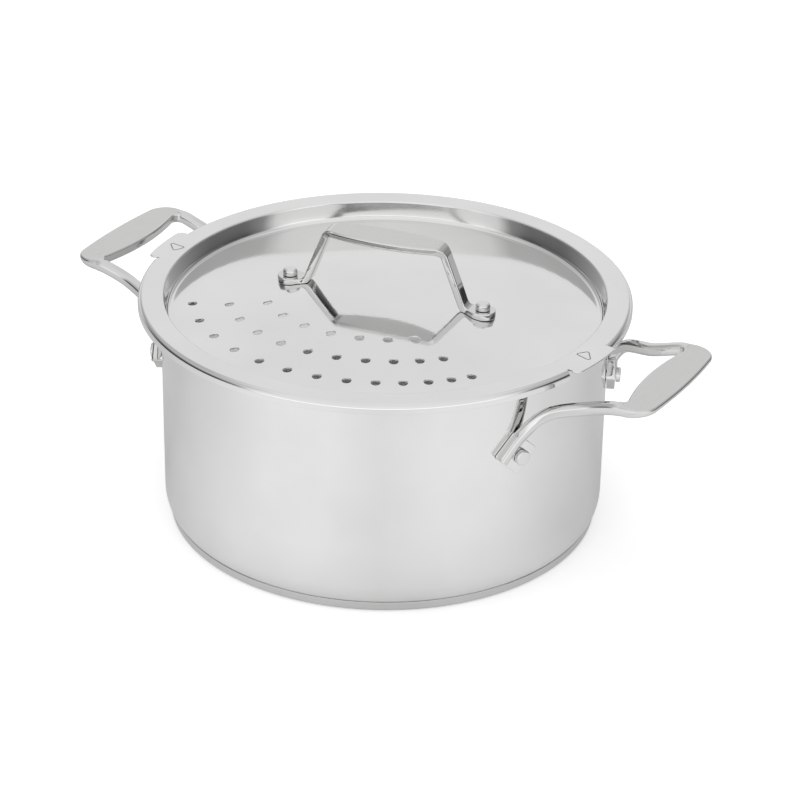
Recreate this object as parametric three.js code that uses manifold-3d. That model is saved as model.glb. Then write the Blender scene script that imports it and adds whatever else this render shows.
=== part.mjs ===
// A low stainless-steel stockpot with two riveted loop handles and a crowned strainer lid.
// Millimetres, +Z up. The origin is the middle of the base, on the surface that the pot stands on.
// The side handles lie on the X axis. The strainer's holes are on the -Y side of the lid.

import * as THREE from 'three';
import { mergeVertices } from 'three/addons/utils/BufferGeometryUtils.js';
import Module from 'manifold-3d';

const wasm = await Module();
wasm.setup();

// Fits between pieces
const FIT = 0.3;                    // gap left between two pieces that touch on the real pot
const LID_SIDE_GAP = 1.3;           // between the lid's side and the inside of the pot
const SKIRT_GAP = 2.1;              // between the pot's lip and the lid's turned-down edge

// Pot
const POT_RADIUS = 122;             // outside of the straight wall
const POT_WALL = 1.2;
const CORNER_RADIUS = 16.7;         // outside of the curve between wall and bottom
const LIP_HEIGHT = 129.3;           // top of the flared lip above the table
const LIP_REACH = 9.2;              // lip beyond the wall
const LIP_BEND = 5.5;               // radius under the lip

// Capsule base
const BASE_INSET = 3;               // base edge inside the wall
const BASE_HEIGHT = 5.2;
const CAP_SHEET = 0.8;
const CAP_EDGE = 1.6;               // outside radius of the cap's lower edge

// Side handles
const GRIP_REACH = 59;              // outer edge of the grip beyond the wall, at its middle
const GRIP_WIDTH = 22;              // at its middle
const GRIP_LENGTH = 86;             // over both arms
const GRIP_THICKNESS = 5.5;
const GRIP_EDGE = 1.8;              // thickness left at the grip's edge
const GRIP_ROUNDING = 3;            // width of the rounding under the edge
const GRIP_TOP = 123.4;             // above the table
const GRIP_OUTER_BOW = 1.5;
const GRIP_INNER_BOW = 4;
const GRIP_CORNER = 12;
const HAND_HOLE_CORNER = 3;
const ARM_WIDTH = 6.5;
const ARM_THICKNESS = 5;
const ARM_EDGE = 1.5;               // rounding of the arm's long edges
const ARM_OVERLAP = 9;              // arm run into the grip
const ARM_LEAVES_WALL = 11;         // above the rivet
const ARM_ENDS = 5;                 // above the rivet
const ARM_SHOULDER_REACH = 7;       // shoulder of the arm beyond the wall
const ARM_SHOULDER_DROP = 11;       // shoulder below the middle of the grip
const ARM_LEVEL_REACH = 21;         // where the arm has levelled out, beyond the wall
const ARM_LEVEL_DROP = 5.5;
const PAD_ANGLE = 25.5;             // degrees either side of the handle's middle
const PAD_WIDTH = 15;
const PAD_LENGTH = 17;
const PAD_CORNER = 2;
const PAD_THICKNESS = 4.5;
const PAD_TILT = 43;                // degrees, upper end towards the handle's middle

// Side rivets
const RIVET_HEIGHT = 86.5;          // above the table
const RIVET_SHANK = 2.6;
const RIVET_HEAD = 4.2;
const RIVET_HEAD_HEIGHT = 2.6;
const RIVET_HEAD_EDGE = 0.9;
const INNER_HEAD = 4.4;
const INNER_HEAD_HEIGHT = 1.2;

// Strainer lid
const LID_SHEET = 0.9;
const LID_DEPTH = 11;               // trough below the ring
const CROWN_RISE = 8;               // middle of the pan above the trough
const COVE_RADIUS = 3;              // between the pan and the lid's side
const RING_BEND = 1.4;              // inner edge of the ring
const EDGE_BEND = 3.2;              // outer edge of the ring
const SKIRT_DEPTH = 5.4;            // lower end of the turned-down edge below the ring
const TAB_WIDTH = 35.5;
const TAB_FORWARD = 6;              // degrees from the handles' axis to the strainer's side
const TAB_REACH = 4.5;              // thumb tab beyond the ring
const TAB_NOTCH = 3;                // slit either side of a tab
const HOLE_RADIUS = 2.4;
const HOLE_PITCH = 16.6;            // along a row, at its middle
const PITCH_CHANGE = -0.96;         // from one gap to the next along a row
const ROW_PITCH = 19.2;
const ROW_COUNT = 3;
const FIRST_ROW_INSET = 45.7;       // radius of the first row's arc below the pan's radius
const FIRST_ROW_HOLES = 7;
const MORE_HOLES_PER_ROW = 3;
const ROW_CENTRE_X = -7.2;          // centre of the rows' arcs
const ROW_CENTRE_Y = 16.3;
const ROW_DIRECTION = -85.6;        // degrees, middle of the first row
const ROW_TURN = 3;                 // degrees from one row's middle to the next
const HOLE_MARGIN = 4;              // from a hole's middle to the edge of the pan

// Lid handle
const LID_HANDLE_TURN = 9.1;        // degrees from the side handles
const LID_FOOT_RADIUS = 56.2;       // rivet from the middle of the lid
const LID_FOOT_WIDTH = 14;
const LID_FOOT_INNER = 10;          // foot from the rivet inwards
const LID_FOOT_THICKNESS = 3.2;
const LID_STRAP = 4;
const LID_STRAP_WIDTH = 8;
const LID_STRAP_BEND = 6;           // length that a bend takes off each leg
const LID_GRIP_LENGTH = 66.5;
const LID_GRIP_HEIGHT = 36.5;       // top of the grip above the foot's seat
const LID_GRIP_WIDTH = 20;
const LID_GRIP_END = 13;
const LID_RIVET_SHANK = 2.4;
const LID_RIVET_HEAD = 4;
const LID_RIVET_HEAD_HEIGHT = 3.6;
const LID_RIVET_EDGE = 0.8;
const LOWER_HEAD = 4.2;
const LOWER_HEAD_HEIGHT = 1.2;

// Fineness of round shapes
const TURN_STEPS = 52;
const ARC_STEPS = 3;
const CROWN_STEPS = 10;
const HOLE_STEPS = 10;
const RIVET_STEPS = 16;
const ARM_STEPS = 14;
const CUT_OVERRUN = 20;             // cutting bodies reach this far past what they cut

// Heights and radii that follow from the sizes above
const potInside = POT_RADIUS - POT_WALL;
const potBottom = BASE_HEIGHT + FIT;
const potFloor = potBottom + POT_WALL;
const baseRadius = POT_RADIUS - BASE_INSET;
const lipRadius = POT_RADIUS + LIP_REACH;
const ringTop = LIP_HEIGHT + FIT + LID_SHEET;
const ringRadius = lipRadius + SKIRT_GAP + LID_SHEET;
const lidSide = potInside - LID_SIDE_GAP - LID_SHEET;
const panRadius = lidSide - COVE_RADIUS;
const troughHeight = ringTop - LID_DEPTH;
const padFace = POT_RADIUS + FIT + PAD_THICKNESS;
const gripMiddle = GRIP_TOP - GRIP_THICKNESS / 2;

// Height of the pan's upper face: a broad crown that runs level into the trough
function crownHeight(radius) {
  const share = Math.min(radius / panRadius, 1);
  return troughHeight + CROWN_RISE * (1 - share ** 4) ** 3.88;
}

const lidFootSeat = crownHeight(LID_FOOT_RADIUS) + FIT;

// Solids and meshes

function toSolid(geometry) {
  const bare = geometry.index ? geometry.toNonIndexed() : geometry.clone();
  bare.deleteAttribute('normal');
  bare.deleteAttribute('uv');
  const merged = mergeVertices(bare, 1e-4);
  const corners = merged.index.array;
  const triangles = [];
  for (let i = 0; i < corners.length; i += 3) {
    const [a, b, c] = corners.subarray(i, i + 3);
    if (a !== b && b !== c && c !== a) triangles.push(a, b, c);
  }
  return new wasm.Manifold(new wasm.Mesh({
    numProp: 3,
    vertProperties: new Float32Array(merged.attributes.position.array),
    triVerts: new Uint32Array(triangles),
  }));
}

function toMesh(name, solid, finish) {
  const { vertProperties, triVerts } = solid.getMesh();
  const geometry = new THREE.BufferGeometry();
  geometry.setAttribute('position', new THREE.BufferAttribute(vertProperties, 3));
  geometry.setIndex(new THREE.BufferAttribute(triVerts, 1));
  geometry.computeVertexNormals();
  const mesh = new THREE.Mesh(geometry, new THREE.MeshStandardMaterial(finish));
  mesh.name = name;
  return mesh;
}

const radians = THREE.MathUtils.degToRad;

function point(radius, height) {
  return new THREE.Vector2(radius, height);
}

// Points on an arc of a profile, from one angle in degrees to another
function arc(centreRadius, centreHeight, radius, from, to) {
  const points = [];
  for (let i = 0; i <= ARC_STEPS; i += 1) {
    const angle = radians(from + ((to - from) * i) / ARC_STEPS);
    points.push(point(centreRadius + radius * Math.cos(angle), centreHeight + radius * Math.sin(angle)));
  }
  return points;
}

// A closed profile turned round the Z axis
function revolve(profile, steps = TURN_STEPS) {
  const outline = THREE.ShapeUtils.area(profile) < 0 ? [...profile].reverse() : [...profile];
  outline.push(outline[0].clone());
  const geometry = new THREE.LatheGeometry(outline, steps);
  geometry.rotateX(Math.PI / 2);
  return toSolid(geometry);
}

function extrude(shape, from, to) {
  const geometry = new THREE.ExtrudeGeometry(shape, {
    depth: to - from,
    bevelEnabled: false,
    curveSegments: ARC_STEPS,
  });
  geometry.translate(0, 0, from);
  return geometry;
}

// A drill along Z
function drill(radius, x, y, from, to, steps) {
  const geometry = new THREE.CylinderGeometry(radius, radius, to - from, steps);
  geometry.rotateX(Math.PI / 2);
  geometry.translate(x, y, (from + to) / 2);
  return toSolid(geometry);
}

// A drill through the pot's wall, along a radius at an angle in degrees
function wallDrill(angle) {
  const reach = padFace + CUT_OVERRUN;
  const geometry = new THREE.CylinderGeometry(RIVET_SHANK + FIT, RIVET_SHANK + FIT, reach, RIVET_STEPS);
  geometry.rotateZ(Math.PI / 2);
  geometry.translate(reach / 2, 0, RIVET_HEIGHT);
  geometry.rotateZ(radians(angle));
  return toSolid(geometry);
}

// The other face of a sheet: each point moved square to the face, to the right of its run
function sheetBack(face, thickness) {
  return face.map((here, i) => {
    if (here.x === 0) return point(0, here.y - thickness);
    const before = face[Math.max(i - 1, 0)];
    const after = face[Math.min(i + 1, face.length - 1)];
    const along = after.clone().sub(before).normalize();
    return point(here.x + along.y * thickness, here.y - along.x * thickness);
  });
}

// Pot shell: bottom, rounded corner, straight wall and flared lip
function potShell() {
  const cornerCentre = POT_RADIUS - CORNER_RADIUS;
  const cornerSweep = THREE.MathUtils.radToDeg(Math.acos(1 - BASE_INSET / CORNER_RADIUS));
  const cornerHeight = potBottom + CORNER_RADIUS * Math.sin(radians(cornerSweep));
  const innerCorner = CORNER_RADIUS - POT_WALL;
  const innerSweep = THREE.MathUtils.radToDeg(Math.asin((cornerHeight - potFloor) / innerCorner));
  const bendRadius = POT_RADIUS + LIP_BEND;
  const bendHeight = LIP_HEIGHT - POT_WALL - LIP_BEND;
  const shell = revolve([
    point(0, potBottom),
    ...arc(cornerCentre, cornerHeight, CORNER_RADIUS, -cornerSweep, 0),
    ...arc(bendRadius, bendHeight, LIP_BEND, 180, 90),
    point(lipRadius, LIP_HEIGHT - POT_WALL),
    point(lipRadius, LIP_HEIGHT),
    ...arc(bendRadius, bendHeight, LIP_BEND + POT_WALL, 90, 180),
    ...arc(cornerCentre, cornerHeight, innerCorner, 0, -innerSweep),
    point(0, potFloor),
  ]);
  return rivetAngles().reduce((solid, angle) => solid.subtract(wallDrill(angle)), shell);
}

function rivetAngles() {
  return [-PAD_ANGLE, PAD_ANGLE, 180 - PAD_ANGLE, 180 + PAD_ANGLE];
}

// Base cap: a shallow dish under the pot
function baseCap() {
  const inside = baseRadius - CAP_SHEET;
  const edgeCentre = baseRadius - CAP_EDGE;
  return revolve([
    point(0, 0),
    ...arc(edgeCentre, CAP_EDGE, CAP_EDGE, -90, 0),
    point(baseRadius, BASE_HEIGHT),
    point(inside, BASE_HEIGHT),
    ...arc(edgeCentre, CAP_EDGE, CAP_EDGE - CAP_SHEET, 0, -90),
    point(0, CAP_SHEET),
  ]);
}

// Aluminium disc between the cap and the pot's bottom
function baseCore() {
  const radius = baseRadius - CAP_SHEET - FIT;
  const low = CAP_SHEET + FIT;
  return revolve([
    point(0, low),
    point(radius - CAP_EDGE, low),
    point(radius, low + CAP_EDGE),
    point(radius, BASE_HEIGHT),
    point(0, BASE_HEIGHT),
  ]);
}

// Outline of a side handle's grip with the roots of its two arms
function gripShape() {
  const half = GRIP_LENGTH / 2;
  const side = half - ARM_WIDTH;
  const cornerLine = POT_RADIUS + GRIP_REACH - GRIP_OUTER_BOW;
  const roundFrom = cornerLine - GRIP_CORNER;
  const innerMiddle = POT_RADIUS + GRIP_REACH - GRIP_WIDTH;
  const innerEnd = innerMiddle + GRIP_INNER_BOW;
  const root = innerEnd - ARM_OVERLAP;
  const shape = new THREE.Shape();
  shape.moveTo(root, -half);
  shape.lineTo(roundFrom, -half);
  shape.absarc(roundFrom, -half + GRIP_CORNER, GRIP_CORNER, -Math.PI / 2, 0, false);
  shape.quadraticCurveTo(cornerLine + 2 * GRIP_OUTER_BOW, 0, cornerLine, half - GRIP_CORNER);
  shape.absarc(roundFrom, half - GRIP_CORNER, GRIP_CORNER, 0, Math.PI / 2, false);
  shape.lineTo(root, half);
  shape.lineTo(root, side);
  shape.lineTo(innerEnd - HAND_HOLE_CORNER, side);
  shape.quadraticCurveTo(innerEnd, side, innerEnd, side - HAND_HOLE_CORNER);
  shape.quadraticCurveTo(innerMiddle - GRIP_INNER_BOW, 0, innerEnd, HAND_HOLE_CORNER - side);
  shape.quadraticCurveTo(innerEnd, -side, innerEnd - HAND_HOLE_CORNER, -side);
  shape.lineTo(root, -side);
  shape.closePath();
  return shape;
}

// Grip with a flat top, a thin edge and a rounded underside
function gripPlate() {
  const geometry = new THREE.ExtrudeGeometry(gripShape(), {
    depth: GRIP_EDGE,
    bevelThickness: GRIP_THICKNESS - GRIP_EDGE,
    bevelSize: GRIP_ROUNDING,
    bevelOffset: -GRIP_ROUNDING,
    bevelSegments: 2,
    curveSegments: 2 * ARC_STEPS,
  });
  geometry.translate(0, 0, GRIP_TOP - GRIP_EDGE);
  const above = new THREE.BoxGeometry(4 * GRIP_REACH, 2 * GRIP_LENGTH, GRIP_TOP);
  above.translate(POT_RADIUS + GRIP_REACH, 0, 1.5 * GRIP_TOP);
  return toSolid(geometry).subtract(toSolid(above));
}

// One arm of a side handle, from inside the grip down to its pad
function handleArm(side) {
  const root = POT_RADIUS + GRIP_REACH - GRIP_WIDTH + GRIP_INNER_BOW;
  const rootSide = GRIP_LENGTH / 2 - ARM_WIDTH / 2;
  const padRadius = padFace - ARM_THICKNESS / 2;
  const padSide = padRadius * Math.sin(radians(PAD_ANGLE));
  const padReach = padRadius * Math.cos(radians(PAD_ANGLE));
  const wallReach = POT_RADIUS * Math.cos(radians(PAD_ANGLE));
  const path = new THREE.CatmullRomCurve3([
    new THREE.Vector3(root, side * rootSide, gripMiddle),
    new THREE.Vector3(POT_RADIUS + ARM_LEVEL_REACH, side * rootSide, gripMiddle - ARM_LEVEL_DROP),
    new THREE.Vector3(wallReach + ARM_SHOULDER_REACH + ARM_WIDTH, side * (rootSide + padSide) / 2,
      gripMiddle - ARM_SHOULDER_DROP),
    new THREE.Vector3(padReach, side * padSide, RIVET_HEIGHT + ARM_LEAVES_WALL),
    new THREE.Vector3(padReach, side * padSide, RIVET_HEIGHT + ARM_ENDS),
  ]);
  const section = roundedRectangle(ARM_WIDTH, ARM_THICKNESS, ARM_EDGE);
  return new THREE.ExtrudeGeometry(section, {
    steps: ARM_STEPS,
    extrudePath: path,
    curveSegments: 1,
  });
}

function roundedRectangle(width, height, corner) {
  const x = width / 2;
  const y = height / 2;
  const shape = new THREE.Shape();
  shape.moveTo(corner - x, -y);
  shape.lineTo(x - corner, -y);
  shape.absarc(x - corner, corner - y, corner, -Math.PI / 2, 0, false);
  shape.lineTo(x, y - corner);
  shape.absarc(x - corner, y - corner, corner, 0, Math.PI / 2, false);
  shape.lineTo(corner - x, y);
  shape.absarc(corner - x, y - corner, corner, Math.PI / 2, Math.PI, false);
  shape.lineTo(-x, corner - y);
  shape.absarc(corner - x, corner - y, corner, Math.PI, 1.5 * Math.PI, false);
  return shape;
}

// Pad at the end of an arm: a tilted plate, flat outside, that reaches into the wall until it is cut
function handlePad(side) {
  const outline = roundedRectangle(PAD_WIDTH, PAD_LENGTH, PAD_CORNER);
  const geometry = extrude(outline, POT_RADIUS - PAD_THICKNESS, padFace);
  geometry.rotateZ(radians(side * PAD_TILT));
  const toWall = new THREE.Matrix4().makeBasis(
    new THREE.Vector3(0, 1, 0),
    new THREE.Vector3(0, 0, 1),
    new THREE.Vector3(1, 0, 0),
  );
  geometry.applyMatrix4(toWall);
  geometry.translate(0, 0, RIVET_HEIGHT);
  geometry.rotateZ(radians(side * PAD_ANGLE));
  return geometry;
}

// Side handle on the +X side, cut to sit on the round wall
function sideHandle() {
  const wall = revolve([
    point(0, 0),
    point(POT_RADIUS + FIT, 0),
    point(POT_RADIUS + FIT, LIP_HEIGHT),
    point(0, LIP_HEIGHT),
  ]);
  let handle = gripPlate();
  for (const side of [-1, 1]) {
    handle = handle.add(toSolid(handleArm(side))).add(toSolid(handlePad(side)));
  }
  handle = handle.subtract(wall);
  for (const side of [-1, 1]) {
    handle = handle.subtract(wallDrill(side * PAD_ANGLE));
  }
  return handle;
}

// Rivet along Z with its outer head up, from the inner head's face to the outer head's top
function rivet(low, high, shank, outer, inner) {
  return revolve([
    point(0, low - inner.height),
    point(inner.radius - inner.edge, low - inner.height),
    point(inner.radius, low - inner.height + inner.edge),
    point(inner.radius, low),
    point(shank, low),
    point(shank, high),
    point(outer.radius, high),
    point(outer.radius, high + outer.height - outer.edge),
    point(outer.radius - outer.edge, high + outer.height),
    point(0, high + outer.height),
  ], RIVET_STEPS);
}

function sideRivet() {
  const wallChord = Math.sqrt((potInside * Math.cos(Math.PI / TURN_STEPS)) ** 2 - INNER_HEAD ** 2);
  return rivet(
    wallChord - FIT,
    padFace + FIT,
    RIVET_SHANK,
    { radius: RIVET_HEAD, height: RIVET_HEAD_HEIGHT, edge: RIVET_HEAD_EDGE },
    { radius: INNER_HEAD, height: INNER_HEAD_HEIGHT, edge: INNER_HEAD_HEIGHT / 2 },
  );
}

// Upper face of the lid, from its middle to the lower end of the turned-down edge
function lidFace() {
  const crown = [];
  for (let i = 0; i < CROWN_STEPS; i += 1) {
    const radius = panRadius * Math.sin(((i / CROWN_STEPS) * Math.PI) / 2);
    crown.push(point(radius, crownHeight(radius)));
  }
  return [
    ...crown,
    ...arc(panRadius, troughHeight + COVE_RADIUS, COVE_RADIUS, -90, 0),
    ...arc(lidSide + RING_BEND, ringTop - RING_BEND, RING_BEND, 180, 90),
    ...arc(ringRadius - EDGE_BEND, ringTop - EDGE_BEND, EDGE_BEND, 90, 0),
    point(ringRadius, ringTop - SKIRT_DEPTH),
  ];
}

// Ring sector for the tabs, either side of a direction in radians
function ringSector(inner, outer, width, direction) {
  const half = Math.asin(width / 2 / ringRadius);
  const shape = new THREE.Shape();
  shape.absarc(0, 0, outer, direction - half, direction + half, false);
  shape.absarc(0, 0, inner, direction + half, direction - half, true);
  shape.closePath();
  return shape;
}

// Middles of the strainer's holes: rows on arcs about one centre, where they fit on the pan
function holePlaces() {
  const places = [];
  for (let row = 0; row < ROW_COUNT; row += 1) {
    const radius = panRadius - FIRST_ROW_INSET + row * ROW_PITCH;
    const holes = FIRST_ROW_HOLES + row * MORE_HOLES_PER_ROW;
    for (let i = 0; i < holes; i += 1) {
      const place = i - (holes - 1) / 2;
      const along = place * HOLE_PITCH + (place ** 2 * PITCH_CHANGE) / 2;
      const angle = radians(ROW_DIRECTION + row * ROW_TURN) + along / radius;
      const x = ROW_CENTRE_X + radius * Math.cos(angle);
      const y = ROW_CENTRE_Y + radius * Math.sin(angle);
      if (Math.hypot(x, y) <= panRadius - HOLE_MARGIN) places.push([x, y]);
    }
  }
  return places;
}

function strainerLid() {
  const face = lidFace();
  let lid = revolve([...face, ...sheetBack(face, LID_SHEET).reverse()]);
  const flatEdge = ringRadius - EDGE_BEND;
  const tabEdge = ringRadius + TAB_REACH;
  for (const direction of [radians(-TAB_FORWARD), Math.PI + radians(TAB_FORWARD)]) {
    const gap = ringSector(flatEdge, tabEdge + CUT_OVERRUN, TAB_WIDTH + 2 * TAB_NOTCH, direction);
    const tab = ringSector(flatEdge - EDGE_BEND, tabEdge, TAB_WIDTH, direction);
    lid = lid.subtract(toSolid(extrude(gap, ringTop - SKIRT_DEPTH - CUT_OVERRUN, ringTop + CUT_OVERRUN)));
    lid = lid.add(toSolid(extrude(tab, ringTop - LID_SHEET, ringTop)));
  }
  const low = troughHeight - CUT_OVERRUN;
  const high = ringTop + CUT_OVERRUN;
  for (const [x, y] of holePlaces()) {
    lid = lid.subtract(drill(HOLE_RADIUS, x, y, low, high, HOLE_STEPS));
  }
  for (const direction of [0, Math.PI]) {
    const angle = radians(LID_HANDLE_TURN) + direction;
    const x = LID_FOOT_RADIUS * Math.cos(angle);
    const y = LID_FOOT_RADIUS * Math.sin(angle);
    lid = lid.subtract(drill(LID_RIVET_SHANK + FIT, x, y, low, high, RIVET_STEPS));
  }
  return lid;
}

// Side view of the lid handle's strap: level feet, leaning legs and level top
function strapShape() {
  const footLine = lidFootSeat + LID_STRAP / 2;
  const topLine = lidFootSeat + LID_GRIP_HEIGHT - LID_STRAP / 2;
  const legFoot = LID_FOOT_RADIUS - LID_FOOT_INNER;
  const legTop = LID_GRIP_LENGTH / 2;
  const lean = new THREE.Vector2(legTop - legFoot, topLine - footLine).setLength(LID_STRAP_BEND);
  const half = new THREE.Path();
  half.moveTo(LID_FOOT_RADIUS, footLine);
  half.lineTo(legFoot + LID_STRAP_BEND, footLine);
  half.quadraticCurveTo(legFoot, footLine, legFoot + lean.x, footLine + lean.y);
  half.lineTo(legTop - lean.x, topLine - lean.y);
  half.quadraticCurveTo(legTop, topLine, legTop - LID_STRAP_BEND, topLine);
  const right = half.getPoints(ARC_STEPS);
  const left = right.map(({ x, y }) => new THREE.Vector2(-x, y)).reverse();
  const line = [...right, ...left];
  const outside = sheetBack(line, LID_STRAP / 2);
  const inside = sheetBack(line, -LID_STRAP / 2).reverse();
  return new THREE.Shape([...outside, ...inside]);
}

// Plan of the lid handle's grip: a bow, widest in the middle
function lidGripShape() {
  const x = LID_GRIP_LENGTH / 2;
  const end = LID_GRIP_END / 2;
  const bulge = LID_GRIP_WIDTH - end;
  const corner = LID_STRAP;
  const shape = new THREE.Shape();
  shape.moveTo(corner - x, -end);
  shape.quadraticCurveTo(0, -bulge, x - corner, -end);
  shape.quadraticCurveTo(x, -end, x, corner - end);
  shape.lineTo(x, end - corner);
  shape.quadraticCurveTo(x, end, x - corner, end);
  shape.quadraticCurveTo(0, bulge, corner - x, end);
  shape.quadraticCurveTo(-x, end, -x, end - corner);
  shape.lineTo(-x, corner - end);
  shape.quadraticCurveTo(-x, -end, corner - x, -end);
  return shape;
}

// Plan of a foot on the +X side: straight sides and a round outer end
function lidFootShape() {
  const half = LID_FOOT_WIDTH / 2;
  const shape = new THREE.Shape();
  shape.moveTo(LID_FOOT_RADIUS - LID_FOOT_INNER, -LID_STRAP_WIDTH / 2);
  shape.lineTo(LID_FOOT_RADIUS, -half);
  shape.absarc(LID_FOOT_RADIUS, 0, half, -Math.PI / 2, Math.PI / 2, false);
  shape.lineTo(LID_FOOT_RADIUS - LID_FOOT_INNER, LID_STRAP_WIDTH / 2);
  shape.closePath();
  return shape;
}

// Lid handle along X: strap, grip and two feet cut to sit on the crown
function lidHandle() {
  const strap = extrude(strapShape(), -LID_STRAP_WIDTH / 2, LID_STRAP_WIDTH / 2);
  strap.rotateX(Math.PI / 2);
  const top = lidFootSeat + LID_GRIP_HEIGHT;
  let handle = toSolid(strap).add(toSolid(extrude(lidGripShape(), top - LID_STRAP, top)));
  const footLow = troughHeight - CUT_OVERRUN;
  const footHigh = lidFootSeat + LID_FOOT_THICKNESS;
  const strapOff = lidFootSeat + LID_GRIP_HEIGHT - 2 * LID_STRAP;
  for (const turn of [0, Math.PI]) {
    const foot = extrude(lidFootShape(), footLow, footHigh).rotateZ(turn);
    const x = LID_FOOT_RADIUS * Math.cos(turn);
    const clear = drill(LID_FOOT_WIDTH / 2, x, 0, footHigh, strapOff, RIVET_STEPS);
    const hole = drill(LID_RIVET_SHANK + FIT, x, 0, footLow, footHigh + CUT_OVERRUN, RIVET_STEPS);
    handle = handle.add(toSolid(foot)).subtract(clear).subtract(hole);
  }
  const crown = lidFace().filter(({ x }) => x <= panRadius);
  const under = [point(panRadius, footLow - CUT_OVERRUN), point(0, footLow - CUT_OVERRUN)];
  const pan = [...crown.map(({ x, y }) => point(x, y + FIT)), ...under];
  return handle.subtract(revolve(pan));
}

function lidRivet() {
  const low = crownHeight(LID_FOOT_RADIUS + LOWER_HEAD) - LID_SHEET - FIT;
  return rivet(
    low,
    lidFootSeat + LID_FOOT_THICKNESS + FIT,
    LID_RIVET_SHANK,
    { radius: LID_RIVET_HEAD, height: LID_RIVET_HEAD_HEIGHT, edge: LID_RIVET_EDGE },
    { radius: LOWER_HEAD, height: LOWER_HEAD_HEIGHT, edge: LOWER_HEAD_HEIGHT / 2 },
  );
}

// Finishes
const POLISHED = { color: 0xd6d7d6, roughness: 0.12, metalness: 1 };
const SATIN = { color: 0xcfcfcd, roughness: 0.3, metalness: 1 };
const BARE_ALUMINIUM = { color: 0xb9bbbd, roughness: 0.5, metalness: 1 };

// Assembly
const group = new THREE.Group();

const pot = new THREE.Group();
pot.add(toMesh('pot_shell', potShell(), POLISHED));
pot.add(toMesh('base_cap', baseCap(), POLISHED));
pot.add(toMesh('base_core', baseCore(), BARE_ALUMINIUM));
for (const [end, turn] of [['right', 0], ['left', Math.PI]]) {
  const handleGroup = new THREE.Group();
  handleGroup.rotation.z = turn;
  handleGroup.add(toMesh(`side_handle_${end}`, sideHandle(), SATIN));
  for (const [place, side] of [['front', -1], ['rear', 1]]) {
    const spoke = new THREE.Group();
    spoke.rotation.z = radians(side * PAD_ANGLE);
    const name = turn === 0 ? place : { front: 'rear', rear: 'front' }[place];
    const mesh = toMesh(`side_rivet_${end}_${name}`, sideRivet(), POLISHED);
    mesh.rotation.y = Math.PI / 2;
    mesh.position.z = RIVET_HEIGHT;
    spoke.add(mesh);
    handleGroup.add(spoke);
  }
  pot.add(handleGroup);
}
group.add(pot);

const lid = new THREE.Group();
lid.add(toMesh('strainer_lid', strainerLid(), POLISHED));
const lidHandleGroup = new THREE.Group();
lidHandleGroup.rotation.z = radians(LID_HANDLE_TURN);
lidHandleGroup.add(toMesh('lid_handle', lidHandle(), POLISHED));
for (const [end, side] of [['right', 1], ['left', -1]]) {
  const mesh = toMesh(`lid_rivet_${end}`, lidRivet(), POLISHED);
  mesh.position.x = side * LID_FOOT_RADIUS;
  lidHandleGroup.add(mesh);
}
lid.add(lidHandleGroup);
group.add(lid);

export default group;
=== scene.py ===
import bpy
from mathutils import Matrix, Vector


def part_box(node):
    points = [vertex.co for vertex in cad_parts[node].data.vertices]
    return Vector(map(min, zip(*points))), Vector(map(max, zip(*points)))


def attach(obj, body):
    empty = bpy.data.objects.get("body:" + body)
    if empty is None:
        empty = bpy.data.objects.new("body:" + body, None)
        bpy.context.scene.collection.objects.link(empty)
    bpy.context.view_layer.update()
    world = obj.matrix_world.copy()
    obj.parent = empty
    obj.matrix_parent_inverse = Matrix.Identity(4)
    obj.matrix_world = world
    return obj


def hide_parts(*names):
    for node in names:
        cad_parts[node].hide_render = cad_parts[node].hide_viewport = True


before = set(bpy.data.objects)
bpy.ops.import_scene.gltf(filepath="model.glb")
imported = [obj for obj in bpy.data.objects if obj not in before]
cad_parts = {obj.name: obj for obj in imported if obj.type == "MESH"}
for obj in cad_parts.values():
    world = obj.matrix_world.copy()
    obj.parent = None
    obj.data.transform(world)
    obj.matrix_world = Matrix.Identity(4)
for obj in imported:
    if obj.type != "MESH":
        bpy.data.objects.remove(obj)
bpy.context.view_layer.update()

import math
from types import SimpleNamespace

import bmesh
import bpy
from bpy.props import FloatProperty, FloatVectorProperty, IntProperty, PointerProperty
from mathutils import Matrix, Vector

bl_info = {
    "name": "Stockpot with strainer lid",
    "version": (1, 0, 0),
    "blender": (4, 5, 0),
    "location": "3D View > Sidebar > Stockpot",
    "description": "Builds a polished steel stockpot with a perforated lid round its packed solids",
    "category": "Add Mesh",
}

MM = 0.001

# Points nearer than this are one point, on a mesh and on a profile
MESH_TINY = 1e-7
LINE_TINY = 1e-6

# Heights that the packed solids give
LIP_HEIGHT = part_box("pot_shell")[1].z
GRIP_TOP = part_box("side_handle_right")[1].z

# Fineness of the meshes
TURN_STEPS = 240
BEND_STEPS = 10
PAN_RINGS = 44
HOLE_STEPS = 28
RIVET_STEPS = 48
SHARP = math.radians(32)


# Settings

def length(name, description, millimetres):
    """A size, given in millimetres and kept in metres."""
    return FloatProperty(name=name, description=description, default=millimetres * MM, unit="LENGTH", precision=4)


def turn(name, description, degrees):
    """An angle, given in degrees and kept in radians."""
    return FloatProperty(name=name, description=description, default=math.radians(degrees), subtype="ANGLE")


def share(name, description, value):
    """A value from 0 to 1."""
    return FloatProperty(name=name, description=description, default=value, min=0.0, max=1.0, subtype="FACTOR")


def colour(name, description, value):
    """A colour without its opacity."""
    return FloatVectorProperty(name=name, description=description, default=value, size=3, min=0.0, max=1.0,
                               subtype="COLOR")


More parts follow.
